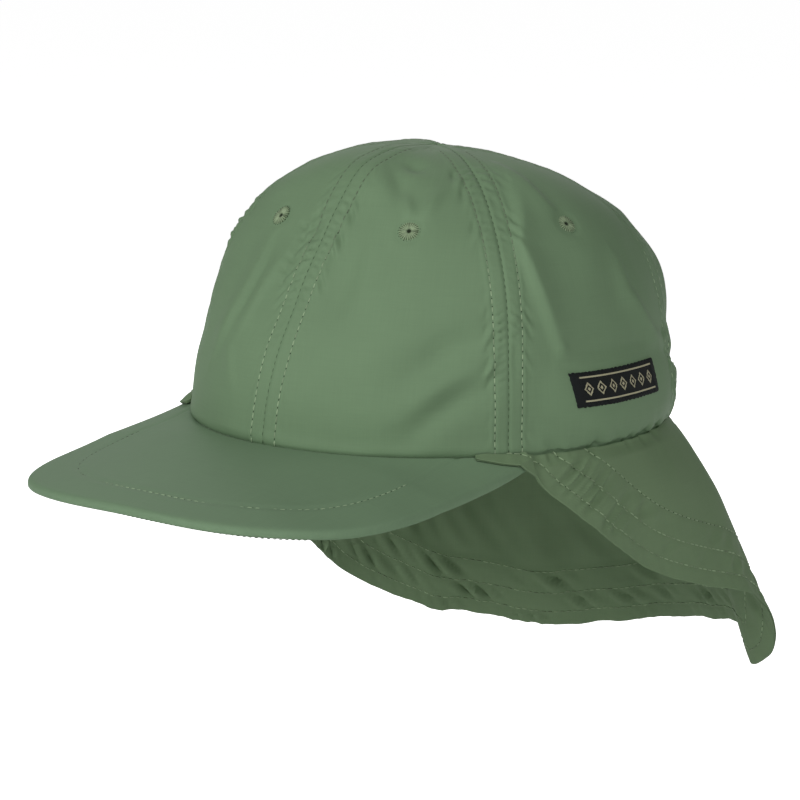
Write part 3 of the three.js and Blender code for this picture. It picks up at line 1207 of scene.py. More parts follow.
    def calm(self, turn: Array, rise: Array, points: Array) -> Array:
        """1 on free cloth, falling to 0 where an eyelet or the label holds it flat.

        Args:
            turn: direction in radians.
            rise: share of the height.
            points: places in millimetres, ending in 3.

        Returns:
            The share of the relief that is kept.
        """
        free = np.ones(points.shape[:-1])
        for place in self.eyelet_places:
            centre = self.point(np.radians(place[0]), np.array(place[1]))
            gap = np.linalg.norm(points - centre, axis=-1)
            free = free * (1 - bell(gap, self.eyelet_calm))
        across = np.abs(np.degrees(turn) % 360 - self.label_turn)
        up = np.abs(rise * self.height - self.label_rise)
        held = 1 - smooth_step(across, *self.label_calm_turns)
        held = held * (1 - smooth_step(up, *self.label_calm_heights))
        return free * (1 - held)

    def relief(self, turn: Array, rise: Array) -> Array:
        """How far the sewn, creased cloth stands out from the smooth form.

        Args:
            turn: direction in radians.
            rise: share of the height.

        Returns:
            The distance along the normal.
        """
        points = self.point(turn, rise)
        seam, offset = self.seam_distance(turn, rise)
        distance = np.abs(offset)
        up = self.climb(rise)
        free = self.calm(turn, rise, points)
        free = free * smooth_step(rise * self.height, *self.rim_hold)
        swell = self.seam_swell * (1 - smooth_step(distance, *self.seam_swell_edge))
        groove = -self.seam_depth * bell(distance, self.seam_width)
        dents = -self.stitch_dent * bell(distance - self.seam_offset, self.stitch_dent_width)
        return (
            swell
            - self.settle
            + groove
            + dents
            + self._puckers(seam, offset, up)
            + free * self._creases(turn, rise, points)
            + free * sum(height * swells(points) for height, swells in self.swells)
            + self._rim(turn, rise)
            + self._eyelet_dents(points)
        )

    def _puckers(self, seam: Array, offset: Array, up: Array) -> Array:
        """Small ripples that the seam lines pull into the cloth.

        Args:
            seam: number of the nearest seam.
            offset: signed distance from it.
            up: distance up the cloth.

        Returns:
            The relief of the ripples.
        """
        distance = np.abs(offset)
        strength = np.full_like(up, self.pucker_rest)
        fade = self.pull_fade
        for pull in SEAM_PULLS:
            inside = smooth_step(up, pull.low - fade, pull.low + fade)
            inside = inside * (1 - smooth_step(up, pull.high - fade, pull.high + fade))
            strength = np.where(seam == pull.seam, np.maximum(strength, inside), strength)
        total = np.zeros_like(up)
        for side in (-1, 1):
            for k in range(6):
                here = (seam == k) & (np.sign(offset) == side)
                strips = []
                for strip in (INNER_PUCKER, OUTER_PUCKER):
                    ripple = Ripple(strip.wavelength, strip.seed + 2 * k + (side > 0))
                    waves = ripple(up + strip.lean * distance)
                    if strip is INNER_PUCKER:
                        waves = np.abs(waves) - self.pucker_floor
                    strips.append(strip.height * waves * bell(distance - strip.place, strip.width))
                total = np.where(here, strength * sum(strips), total)
        return total

    def _creases(self, turn: Array, rise: Array, points: Array) -> Array:
        """Relief of the table of creases.

        Args:
            turn: direction in radians.
            rise: share of the height.
            points: places in millimetres, ending in 3.

        Returns:
            The relief of the creases.
        """
        normals = self.normal(turn, rise)
        total = np.zeros(points.shape[:-1])
        for crease in CROWN_CREASES:
            rows = np.array(crease.line, float)
            fine = np.linspace(0, len(rows) - 1, self.crease_steps * len(rows))
            places = [np.interp(fine, np.arange(len(rows)), rows[:, k]) for k in (0, 1)]
            line = self.point(np.radians(places[0]), places[1])
            best = np.full(total.shape, np.inf)
            value = np.zeros(total.shape)
            for k in range(len(line) - 1):
                way = line[k + 1] - line[k]
                share = np.clip((points - line[k]) @ way / (way @ way), 0, 1)
                gap = points - (line[k] + share[..., None] * way)
                far = np.linalg.norm(gap, axis=-1)
                side = np.einsum("...i,...i->...", np.cross(way, gap), normals)
                width = np.where(side > 0, crease.before, crease.after)
                along = (k + share) / (len(line) - 1)
                inset = along * (1 - 2 * self.crease_end) + self.crease_end
                fade = np.sin(np.pi * np.clip(inset, 0, 1)) ** self.crease_fade
                value = np.where(far < best, np.exp(-((far / width) ** 2)) * fade, value)
                best = np.minimum(best, far)
            total += self.crease_scale * crease.height * value
        return total

    def _rim(self, turn: Array, rise: Array) -> Array:
        """Cloth rolling in at the rim: smooth over the peak, gathered round the back.

        Args:
            turn: direction in radians.
            rise: share of the height.

        Returns:
            The relief near the rim.
        """
        gathered = smooth_step(side_turn(turn), *self.rim.gather_turns)
        along = np.radians(np.degrees(turn) % 360) * self.half_width
        return self.rim.relief(gathered, along, rise * self.height)

    def _eyelet_dents(self, points: Array) -> Array:
        """Cloth drawn in round each eyelet's rim.

        Args:
            points: places in millimetres, ending in 3.

        Returns:
            The relief, negative where the cloth is drawn in.
        """
        total = np.zeros(points.shape[:-1])
        for place in self.eyelet_places:
            centre = self.point(np.radians(place[0]), np.array(place[1]))
            distance = np.linalg.norm(points - centre, axis=-1)
            total -= self.eyelet_pull * bell(distance - self.eyelet_pull_radius, self.eyelet_pull_width)
            total -= self.eyelet_depth * (1 - smooth_step(distance, *self.eyelet_slope))
        return total

    def face(self, turn: Array, rise: Array, lift: float = 0.0) -> Array:
        """Points of the cloth's outer face, with a lift off it."""
        out = self.relief(turn, rise) + lift
        return self.point(turn, rise) + self.normal(turn, rise) * out[..., None]

    def panel(self, number: int) -> bpy.types.Object:
        """One panel between two seams.

        Args:
            number: the panel's number, from the one left of the front seam.

        Returns:
            The panel as a closed body.
        """
        first = PANEL_TURN * number
        reach = np.linspace(0, self._climb[-1], self.rows)
        rises = np.interp(reach, self._climb, self._rises)
        rises[-1] = 1.0
        band = -np.array([self.band_height, self.band_height / 2, 0.6]) / self.height
        rises = np.concatenate([band, rises])
        table = np.radians(np.linspace(first - 3, first + PANEL_TURN + 3, 133))
        turns = []
        for rise in rises:
            line = self.point(table, np.full_like(table, rise))
            run = run_length(line)
            run -= np.interp(np.radians(first), table, run)
            width = np.interp(np.radians(first + PANEL_TURN), table, run)
            turns.append(np.interp(self._columns(width), run, table))
        turn = np.array(turns).T
        rise = np.broadcast_to(rises, turn.shape)
        base = self.point(turn, rise)
        normal = self.normal(turn, rise)
        relief = self.relief(turn, rise)[..., None]
        outer = base + normal * relief
        inner = base + normal * (self.inner_relief * relief - self.wall)
        middle = turn - np.radians(first + PANEL_TURN / 2)
        across = middle * np.linalg.norm(base[..., :2], axis=-1)
        coords = np.stack([across, np.broadcast_to(self.climb(rises), turn.shape)], -1)
        loops = np.concatenate([outer, inner[:, ::-1]], 1)
        both = np.concatenate([coords, coords[:, ::-1]], 1)
        return loop_mesh(f"panel_{self.panel_names[number]}", loops, both)

    def _columns(self, width: float) -> Array:
        """Distances from the first seam of a panel's columns, close-set near its seams.

        Args:
            width: the panel's width at one height.

        Returns:
            The distances.
        """
        fine = min(self.fine_zone, 0.375 * width)
        lap = min(0.12, 0.02 * width)
        near = np.linspace(-lap, fine, self.fine_columns)
        wide = np.linspace(fine, width - fine, self.wide_columns)[1:-1]
        return np.concatenate([near, wide, width - near[::-1]])

    def seam_path(self, seam: int, offset: float, top: float) -> ThreadPath:
        """Line of stitches beside a seam.

        Args:
            seam: the seam's number.
            offset: signed distance from the seam.
            top: height share where the line ends.

        Returns:
            The path on the cloth's face.
        """
        start = np.interp(self.stitch_from, self._climb, self._rises)
        low, high = self.climb(np.array([start, top]))
        rise = np.interp(np.linspace(low, high, 140), self._climb, self._rises)
        centre = np.full_like(rise, np.radians(PANEL_TURN * seam))
        turn = centre.copy()
        small = 0.002
        for _ in range(3):
            middle = (turn + centre) / 2
            ahead = self.point(middle + small, rise) - self.point(middle - small, rise)
            speed = np.linalg.norm(ahead, axis=-1) / (2 * small)
            turn = centre + offset / speed
        return ThreadPath(self.face(turn, rise), self.normal(turn, rise))

    def seam_paths(self, offsets: Sequence[float], top: float) -> list[ThreadPath]:
        """Lines of stitches at some offsets from all six seams."""
        return [self.seam_path(k, offset, top) for k in range(6) for offset in offsets]

    def eyelet(self, number: int) -> bpy.types.Object:
        """Base ring of an eyelet: a low disc whose middle dips, painted dark there as shade.

        Args:
            number: the panel that the eyelet is in.

        Returns:
            The ring as a closed body.
        """
        centre, right, up, normal = self._eyelet_axes(number)
        section = np.array(EYELET_SECTION)
        angle = np.linspace(0, TAU, 48, endpoint=False)
        ring = np.cos(angle)[:, None] * right + np.sin(angle)[:, None] * up
        points = centre + section[:, None, :1] * ring + section[:, None, 1:] * normal
        count, sides = points.shape[:2]
        index = np.arange(count * sides).reshape(count, sides)
        ahead = np.roll(index, -1, axis=1)
        faces = np.stack([index[:-1], ahead[:-1], ahead[1:], index[1:]], -1).reshape(-1, 4)
        name = f"eyelet_ring_{self.panel_names[number]}"
        mesh = bpy.data.meshes.new(name)
        ends = [index[0, ::-1].tolist(), index[-1].tolist()]
        mesh.from_pydata((points.reshape(-1, 3) * MM).tolist(), [], faces.tolist() + ends)
        # Painted shade: the middle is coloured dark, as the shade inside the eyelet's hole.
        shade = np.repeat(smooth_step(section[:, 0], 0.5, 1.0), sides)
        layer = mesh.attributes.new("shade", "FLOAT", "POINT")
        layer.data.foreach_set("value", shade.astype(np.float32))
        mesh.shade_smooth()
        piece = bpy.data.objects.new(name, mesh)
        bpy.context.scene.collection.objects.link(piece)
        return piece

    def _eyelet_axes(self, number: int) -> tuple[Array, Array, Array, Array]:
        """Centre, the two directions over the cloth and the outward one of an eyelet.

        Args:
            number: the panel that the eyelet is in.

        Returns:
            The centre and the three directions.
        """
        turn = np.radians(self.eyelet_places[number][0])
        rise = np.array(self.eyelet_places[number][1])
        centre = self.face(np.array([turn]), rise[None])[0]
        normal = self.normal(np.array([turn]), rise[None])[0]
        centre = centre + normal * (self.eyelet_depth - self.eyelet_proud)
        right = unit(np.cross(np.array([0.0, 0.0, 1.0]), normal))
        return centre, right, np.cross(normal, right), normal

    def eyelet_path(self, number: int, radius: float, lift: float) -> ThreadPath:
        """Circle round an eyelet on which its threads stand, aimed at its middle.

        Args:
            number: the panel that the eyelet is in.
            radius: the circle's radius.
            lift: its height over the eyelet.

        Returns:
            The circle.
        """
        centre, right, up, normal = self._eyelet_axes(number)
        angle = np.linspace(0, TAU, 97)
        ring = np.cos(angle)[:, None] * right + np.sin(angle)[:, None] * up
        points = centre + ring * radius + normal * lift
        return ThreadPath(points, np.broadcast_to(normal, ring.shape), ring)


def side_turn(turn: Array) -> Array:
    """Turn folded to 0..180 degrees, the same on both sides of the cap."""
    degrees = np.degrees(turn) % 360
    return np.minimum(degrees, 360 - degrees)


# Peak


PEAK_EDGE = (
    (2.2, 0.0), (1.5, 0.08), (0.9, 0.28), (0.42, 0.62), (0.12, 1.1),
    (0.0, 1.7), (0.0, 2.4), (0.12, 2.9), (0.4, 3.2), (1.0, 3.25),
)


@dataclass
class Peak:
    """Stiff, cloth-covered peak with a wrapped edge and one line of stitching."""

    crown: Crown
    half_width: float = side_of("peak_top_cover", 0)
    side: float = 95.5
    length: float = side_of("peak_top_cover", 1, high=False) - 95.5
    roundness: float = 2.5
    end_turn: float = 60.0
    end: tuple[float, float] = (82.0, -44.0)
    thickness: float = 3.2
    root: float = -0.65
    cover: float = 1.3
    droop_front: float = 10.4
    droop_corner: float = -2.8
    droop_side: float = 11.2
    settle: float = 0.18
    far_lift: float = 2.2
    far_place: float = -66.0
    far_width: float = 34.0
    far_side: tuple[float, float] = (50.0, 84.0)
    stitch_inset: float = 17.2
    stitch_start: float = 1.006
    stitch_dent: float = 0.42
    stitch_dent_width: float = 0.75
    stitch_ridge: float = 0.12
    stitch_ridge_place: float = 3.0
    stitch_ridge_width: float = 2.2
    swell: float = 0.16
    swells: Swell = Swell(46, 21)
    turn_in: float = 0.6
    inner_depth: float = 3.0
    under_inset: float = 1.4
    under_inner_inset: float = 1.8
    under_gap: float = 0.1
    edge_inset: float = 0.45
    edge_sink: float = 0.05
    edge_lean: float = 0.6
    columns: int = 260
    rows: int = 46

    def height(self, x: Array, y: Array) -> Array:
        """Height of the smooth top face above the plan.

        Args:
            x: place across in millimetres.
            y: place along in millimetres.

        Returns:
            The height.
        """
        crown = self.crown
        outside = np.maximum(np.hypot(x / crown.half_width, y / crown.half_length) - 1, 0)
        settled = 1 - np.exp(-outside / self.settle)
        start = crown.half_length - self.thickness
        ahead = np.maximum(-y - start, 0) / (self.side + self.length - start)
        across = (x / self.half_width) ** 2
        side = (self.droop_corner * ahead + self.droop_side) * across
        raised = self.far_lift * smooth_step(-x, *self.far_side)
        raised = raised * bell(y - self.far_place, self.far_width)
        return raised - (self.droop_front * ahead + side) * settled

    def outline(self, inset: float = 0.0, steps: int = 400) -> Array:
        """Plan outline from the wearer's left end to the right one.

        Args:
            inset: distance inside the edge.
            steps: points along the front curve.

        Returns:
            The outline's points, in the plan.
        """
        angle = np.pi / 2 * (1 - 2 * np.arange(steps + 1) / steps)
        power = 2 / self.roundness
        x = (self.half_width - inset) * np.sign(angle) * np.abs(np.sin(angle)) ** power
        y = -(self.side + (self.length - inset) * np.maximum(np.cos(angle), 0) ** power)
        corner = np.array([[self.end[0] - inset, self.end[1]]])
        return np.concatenate([corner, np.stack([x, y], -1), corner * [-1, 1]])

    def plan(self, along: Array, outward: Array, inset: Array) -> Array:
        """Plan points by share along the peak, share outward and inset from its edge.

        Args:
            along: share along the peak, from the wearer's left.
            outward: share from the root to the edge.
            inset: distance inside the edge.

        Returns:
            The points, in the plan.
        """
        outline = self.outline()
        run = run_length(outline)
        edge = np.stack([np.interp(along * run[-1], run, outline[:, k]) for k in (0, 1)], -1)
        turn = np.radians(self.end_turn) * (1 - 2 * along)
        root = rim_point(self.crown, turn, self.root)[..., :2]
        line = edge - root
        length = np.linalg.norm(line, axis=-1, keepdims=True)
        reach = outward[..., None] * np.maximum(length - inset[..., None], 0.2 * length)
        return root + line / length * reach

    def stitch_distance(self, x: Array, y: Array) -> Array:
        """Distance in plan from the line of stitching, about.

        Args:
            x: place across in millimetres.
            y: place along in millimetres.

        Returns:
            The distance.
        """
        line = self.outline(self.stitch_inset, 160)
        place = np.stack([x, y], -1)
        best = np.full(x.shape, np.inf)
        for k in range(len(line) - 1):
            way = line[k + 1] - line[k]
            share = np.clip((place - line[k]) @ way / max(way @ way, 1e-9), 0, 1)
            gap = place - (line[k] + share[..., None] * way)
            best = np.minimum(best, np.linalg.norm(gap, axis=-1))
        return best

    def top(self, x: Array, y: Array) -> Array:
        """Height of the sewn top face.

        Args:
            x: place across in millimetres.
            y: place along in millimetres.

        Returns:
            The height.
        """
        distance = self.stitch_distance(x, y)
        points = np.stack([x, y, np.zeros_like(x)], -1)
        dents = -self.stitch_dent * bell(distance, self.stitch_dent_width)
        dents += self.stitch_ridge * bell(distance - self.stitch_ridge_place, self.stitch_ridge_width)
        return self.height(x, y) + dents + self.swell * self.swells(points)

    def top_cover(self) -> bpy.types.Object:
        """Top cover: lies over the peak and wraps down round its edge.

        Returns:
            The cover as a closed body.
        """
        outer = [(k / self.rows, PEAK_EDGE[0][0], 0.0) for k in range(self.rows)]
        outer += [(1.0, inset, depth) for inset, depth in PEAK_EDGE]
        inner = [(row[0], max(row[1], self.cover), self.cover) for row in outer[: self.rows]]
        inset = self.cover + self.turn_in
        inner += [(1.0, inset, min(max(depth, self.cover), self.inner_depth)) for _, depth in PEAK_EDGE]
        return self._shell("peak_cover_top", outer, inner)

    def under_cover(self) -> bpy.types.Object:
        """Under cover: closes the peak from below, inside the wrapped edge.

        Returns:
            The cover as a closed body.
        """
        shares = [k / self.rows for k in range(self.rows + 1)]
        outer = [(share, self.under_inset, self.thickness) for share in shares]
        inner = [(share, self.under_inner_inset, self.cover + self.under_gap) for share in shares]
        return self._shell("peak_cover_under", outer, inner)

    def _shell(
        self,
        name: str,
        outer: Sequence[tuple[float, float, float]],
        inner: Sequence[tuple[float, float, float]],
    ) -> bpy.types.Object:
        """Closed body from rows of the section.

        Args:
            name: name of the new object.
            outer: share outward, inset and depth of each row of the outer face.
            inner: the same of the inner face.

        Returns:
            The cover as a closed body.
        """
        rows = np.array([*outer, *inner[::-1]], float)
        along = np.linspace(0, 1, self.columns + 1)[:, None] * np.ones(len(rows))
        outward, inset, depth = (np.broadcast_to(rows[:, k], along.shape) for k in range(3))
        plan = self.plan(along, outward, inset)
        z = self.top(plan[..., 0], plan[..., 1]) - depth
        loops = np.concatenate([plan, z[..., None]], -1)
        return loop_mesh(name, loops, plan)

    def stitch_path(self, depth: float = 0.0) -> ThreadPath:
        """Line of stitching on the top face, or at a depth below it.

        Args:
            depth: depth below the top face.

        Returns:
            The path.
        """
        line = self.outline(self.stitch_inset, 300)
        crown = self.crown
        reach = np.hypot(line[:, 0] / crown.half_width, line[:, 1] / crown.half_length)
        return self._on_top(line[reach > self.stitch_start], depth)

    def edge_path(self) -> ThreadPath:
        """Line of stitching where the two covers meet, under the wrapped edge.

        Returns:
            The path.
        """
        along = np.linspace(0.01, 0.99, 500)
        plan = self.plan(along, np.ones_like(along), np.full_like(along, self.edge_inset))
        z = self.height(plan[:, 0], plan[:, 1]) - self.thickness + self.edge_sink
        points = np.concatenate([plan, z[:, None]], -1)
        ahead = unit(np.gradient(points, axis=0))
        out = np.cross(ahead, np.array([0.0, 0.0, 1.0]))
        out *= np.sign(np.einsum("ij,ij->i", out[:, :2], plan))[:, None]
        return ThreadPath(points, unit(out - np.array([0.0, 0.0, self.edge_lean])))

    def _on_top(self, plan: Array, depth: float) -> ThreadPath:
        """Path over plan points on the top face, or facing down at a depth.

        Args:
            plan: points in the plan.
            depth: depth below the top face.

        Returns:
            The path.
        """
        x, y = plan[:, 0], plan[:, 1]
        points = np.stack([x, y, self.top(x, y) - depth], -1)
        step = 0.5
        slope_x = (self.height(x + step, y) - self.height(x - step, y)) / (2 * step)
        slope_y = (self.height(x, y + step) - self.height(x, y - step)) / (2 * step)
        normal = unit(np.stack([-slope_x, -slope_y, np.ones_like(x)], -1))
        return ThreadPath(points, normal if depth == 0 else -normal)


def rim_point(crown: Crown, turn: Array, outside: Array) -> Array:
    """Point of the rim in a direction seen from above, at a distance outside it.

    Args:
        crown: the crown.
        turn: direction in radians.
        outside: distance outside the rim.

    Returns:
        The points, with one more axis of 3.
    """
    x, y = np.sin(turn), -np.cos(turn)
    radius = 1 / np.hypot(x / crown.half_width, y / crown.half_length) + outside
    return np.stack([x * radius, y * radius, np.zeros_like(radius)], -1)


# Neck flap


class HangLine(NamedTuple):
    """A hanging line of the flap: direction in degrees, then shares of flare and drop."""

    turn: float
    flare: float
    drop: float


FLAP_LINES = (
    HangLine(49, 0.04, 0.0),
    HangLine(55, 0.08, 0.02),
    HangLine(60, 0.1, 0.035),
    HangLine(63, 0.09, 0.07),
    HangLine(66, 0.09, 0.115),
    HangLine(71, 0.1, 0.17),
    HangLine(78, 0.12, 0.245),
    HangLine(85, 0.15, 0.32),
    HangLine(94, 0.2, 0.41),
    HangLine(103, 0.31, 0.475),
    HangLine(113, 0.49, 0.53),
    HangLine(122, 0.715, 0.58),
    HangLine(127, 0.83, 0.64),
    HangLine(130, 0.925, 0.715),
    HangLine(132, 0.96, 0.795),
    HangLine(134, 0.93, 0.87),
    HangLine(138, 0.83, 0.92),
    HangLine(141, 0.805, 0.86),
    HangLine(144, 0.78, 0.8),
    HangLine(153, 0.68, 0.825),
    HangLine(163, 0.62, 0.87),
    HangLine(173, 0.58, 0.92),
    HangLine(184, 0.55, 0.965),
    HangLine(195, 0.51, 1.0),
    HangLine(207, 0.47, 0.975),
    HangLine(217, 0.41, 0.95),
    HangLine(227, 0.35, 0.88),
    HangLine(237, 0.31, 0.79),
    HangLine(246, 0.27, 0.66),
    HangLine(256, 0.22, 0.53),
    HangLine(267, 0.17, 0.41),
    HangLine(277, 0.13, 0.3),
    HangLine(287, 0.1, 0.185),
    HangLine(294, 0.1, 0.1),
    HangLine(299, 0.12, 0.04),
    HangLine(305, 0.11, 0.01),
    HangLine(311, 0.04, -0.01),
)


class Band(NamedTuple):
    """Puckers between two lines of stitching: height, wavelength and lean."""

    height: float
    wavelength: float
    lean: float


FLAP_BANDS = (Band(0.26, 7.0, 0.5), Band(0.42, 9.5, 1.0), Band(0.42, 10.5, 1.1))


@dataclass
class Flap:
    """Neck flap: one piece of cloth with a sewn facing along its hem."""

    crown: Crown
    peak: Peak
    drop: float = 112.0
    flare: float = 48.0
    bulge: float = 0.09
    sway: float = 0.035
    top: float = -0.4
    root: float = 1.5
    root_gap: float = -0.1
    peak_gap: float = 0.55
    peak_turns: tuple[float, float] = (59.0, 63.0)
    root_range: float = 5.0
    lap: float = 0.4
    lap_slope: float = 1.9
    lap_range: float = 5.0
    wall: float = 0.62
    facing: float = 0.42
    stitch_lines: tuple[float, ...] = (6.0, 14.6, 24.3)
    soften: float = 1.2
    peak_lip: float = 0.6
    facing_edge: tuple[float, float] = (0.6, 1.6)
    stitch_dent: float = 0.2
    stitch_dent_width: float = 0.9
    hem_sway: float = 0.3
    sway_length: float = 100.0
    hem_sways: Ripple = Ripple(22, 33)
    back_starts: tuple[float, float] = (138.0, 160.0)
    back_ends: tuple[float, float] = (250.0, 280.0)
    back_puckers: float = 1.1
    wide_swell: tuple[float, float] = (0.6, 0.6)
    wide_swells: Swell = Swell(70, 31)
    small_swell: tuple[float, float] = (0.25, 0.3)
    small_swells: Swell = Swell(30, 32)
    long_fold: float = 0.9
    long_folds: Ripple = Ripple(34, 61)
    short_fold: float = 0.55
    short_folds: Ripple = Ripple(17, 62)
    fold_lean: float = 0.8
    fold_share: tuple[float, float] = (0.35, 0.65)
    fold_length: float = 90.0
    patches: tuple[float, float] = (0.7, 0.5)
    patch_length: float = 60.0
    front_turn: float = 80.0
    front_width: float = 13.0
    front_pucker: float = 1.5
    front_floor: float = 0.45
    front_lean: float = 1.1
    front_puckers: Ripple = Ripple(11.0, 64)
    far_hump: float = 3.6
    far_hump_turn: float = 300.0
    far_hump_width: float = 8.0
    columns_per_line: int = 12
    rows: int = 84
    hem_section: tuple[tuple[float, float], ...] = (
        (0.2, 0.06),
        (0.32, 0.2),
        (0.22, 0.38),
        (-1.6, 0.46),
        (-1.6, 0.55),
        (0.0, 0.62),
        (0.12, 0.78),
        (0.0, 0.95),
    )
    smooth: Array = field(init=False, repr=False)
    normals: Array = field(init=False, repr=False)
    outer: Array = field(init=False, repr=False)
    inner: Array = field(init=False, repr=False)
    hem_gap: Array = field(init=False, repr=False)
    hem_run: Array = field(init=False, repr=False)
    coords: Array = field(init=False, repr=False)

    def __post_init__(self) -> None:
        """Works out both faces of the cloth."""
        lines = len(FLAP_LINES) - 1
        line = np.linspace(0, lines, lines * self.columns_per_line + 1)[:, None]
        down = np.linspace(0, 1, self.rows + 1)[None, :]
        self.smooth = self.point(line, down)
        self.hem_run = run_length(self.smooth[:, -1])
        self.hem_gap = self._hem_distance()
        fall = np.concatenate(
            [np.zeros((len(line), 1)),
             np.cumsum(np.linalg.norm(np.diff(self.smooth, axis=1), axis=-1), 1)], 1)
        middle = run_length(self.smooth[:, self.rows // 2])[:, None] + 0 * fall
        self.coords = np.stack([middle, -fall], -1)
        normals = grid_normals(self.smooth)
        outward = np.sign(np.median(np.einsum("ijk,ijk->ij", normals[..., :2], self.smooth[..., :2])))
        normals = normals * outward
        body = self.smooth + normals * self._relief(fall)[..., None]
        sways = self.hem_sway * self.hem_sways(self.hem_run) * fall[:, -1] / self.sway_length
        body[:, :, 2] += sways[:, None] * down**6
        normals = grid_normals(body) * outward
        dents = self._stitch_dents()[..., None]
        edge = [self.stitch_lines[-1] + past for past in self.facing_edge]
        faced = 1 - smooth_step(self.hem_gap, *edge)
        depth = self.wall + self.facing * faced
        self.outer = body - normals * dents
        self.inner = body - normals * (depth[..., None] - dents)
        self.normals = normals

    def column(self, name: str, line: Array) -> Array:
        """Smooth value of a named column of the table of hanging lines.

        Args:
            name: name of the column.
            line: fractional row of the table.

        Returns:
            The value at each row.
        """
        values = np.array([getattr(row, name) for row in FLAP_LINES], float)
        i = np.clip(np.floor(line).astype(int), 0, len(values) - 2)
        t = line - i
        a, b, c, d = (values[np.clip(i + k, 0, len(values) - 1)] for k in (-1, 0, 1, 2))
        slope, ahead = (c - a) / 2, (d - b) / 2
        bend = (3 * (c - b) - 2 * slope - ahead) * t**2
        return b + slope * t + bend + (2 * (b - c) + slope + ahead) * t**3

    def point(self, line: Array, down: Array) -> Array:
        """Smooth outer face: fractional row of the table, share from rim to hem.

        Args:
            line: fractional row of the table.
            down: share from the rim to the hem.

        Returns:
            The points, with one more axis of 3.
        """
        line, down = np.broadcast_arrays(line, down)
        turn = np.radians(self.column("turn", line))
        flare = self.flare * self.column("flare", line)
        drop = self.drop * self.column("drop", line)
        curve = self.bulge * np.sin(np.pi * down) + self.sway * np.sin(TAU * down)
        fallen = np.hypot(flare, drop) * down
        loose = smooth_step(fallen, 0, self.root_range)
        faced = 1 - smooth_step(drop, self.stitch_lines[-1] - 3, self.stitch_lines[-1] + 3)
        on_peak = 1 - smooth_step(side_turn(turn), *self.peak_turns)
        rim = self.crown.seat(turn[:, :1]) + self.root_gap + self.peak_gap * on_peak
        rim = rim + self.wall + self.facing * faced
        outside = rim + (self.root - rim) * loose + flare * (down + curve)
        points = rim_point(self.crown, turn, outside)
        z = self.top - drop * down
        x, y = points[..., 0], points[..., 1]
        end_x, end_y = self.peak.end
        beyond = np.maximum(np.abs(x) - end_x - self.peak_lip, 0)
        beyond = beyond + np.maximum(y - end_y - self.peak_lip, 0)
        lap = self.peak.height(x, y) + self.lap + self.wall + self.facing
        lap = lap - self.lap_slope * beyond
        hump = self.far_hump * bell(np.degrees(turn) - self.far_hump_turn, self.far_hump_width)
        lap = lap + hump * (1 - down)
        gap = z - lap
        held = (z + lap + np.sqrt(gap**2 + self.soften**2)) / 2
        near = 1 - smooth_step(y, end_y + self.lap_range, end_y + 4 * self.lap_range)
        points[..., 2] = z + (held - z) * near
        return points

    def _hem_distance(self) -> Array:
        """Distance of every point of the cloth from the hem near it.

        Returns:
            The distances, columns by rows.
        """
        hem = self.smooth[:, -1]
        window = 8 * self.columns_per_line
        gaps = np.zeros(self.smooth.shape[:2])
        for i, column in enumerate(self.smooth):
            near = hem[max(i - window, 0): i + window + 1]
            start, way = near[:-1], np.diff(near, axis=0)
            offset = column[:, None] - start
            share = np.einsum("ijk,jk->ij", offset, way) / np.maximum((way**2).sum(-1), 1e-9)
            gap = offset - np.clip(share, 0, 1)[..., None] * way
            gaps[i] = np.linalg.norm(gap, axis=-1).min(1)
        return gaps

    def _relief(self, fall: Array) -> Array:
        """Folds and puckers of the cloth.

        Args:
            fall: distance down the cloth from its root.

        Returns:
            The relief, columns by rows.
        """
        gap, run = self.hem_gap, self.hem_run[:, None]
        near_rim = smooth_step(fall, 2, 22)
        turn = self.column_turns()[:, None]
        back = smooth_step(turn, *self.back_starts) * (1 - smooth_step(turn, *self.back_ends))
        total = (self.wide_swell[0] + self.wide_swell[1] * back) * self.wide_swells(self.smooth) * near_rim
        small = (self.small_swell[0] + self.small_swell[1] * back) * self.small_swells(self.smooth)
        total += small * near_rim * smooth_step(gap, 3, 16)
        edges = (0.0, *self.stitch_lines)
        for k, band in enumerate(FLAP_BANDS):
            share = np.clip((gap - edges[k]) / (edges[k + 1] - edges[k]), 0, 1)
            between = np.sin(np.pi * share) ** 1.3
            patch = self.patches[0] + self.patches[1] * Ripple(self.patch_length, 80 + k)(run)
            waves = Ripple(band.wavelength, 90 + k, 0.35)(run - band.lean * gap)
            total += band.height * (1 + self.back_puckers * back) * patch * waves * between
        past = smooth_step(gap, edges[-1], edges[-1] + 12) * smooth_step(fall, 2, 12)
        folds = self.long_fold * self.long_folds(run)
        folds = folds + self.short_fold * back * self.short_folds(run - self.fold_lean * gap)
        length = np.clip(fall[:, -1:] / self.fold_length, 0, 1)
        total += (self.fold_share[0] + self.fold_share[1] * back) * folds * past * length
        held = np.sin(np.pi * np.clip(gap / edges[-1], 0, 1)) * smooth_step(fall, 0.5, 6)
        pinched = self.front_floor - np.abs(self.front_puckers(run - self.front_lean * gap))
        total += self.front_pucker * bell(turn - self.front_turn, self.front_width) * pinched * held
        return total

    def column_turns(self) -> Array:
        """Direction of each column of the cloth, in degrees."""
        line = np.linspace(0, len(FLAP_LINES) - 1, len(self.smooth))
        return self.column("turn", line)

    def _stitch_dents(self) -> Array:
        """Depth to which the lines of stitching pull the cloth together."""
        width = self.stitch_dent_width
        return sum(self.stitch_dent * bell(self.hem_gap - line, width) for line in self.stitch_lines)

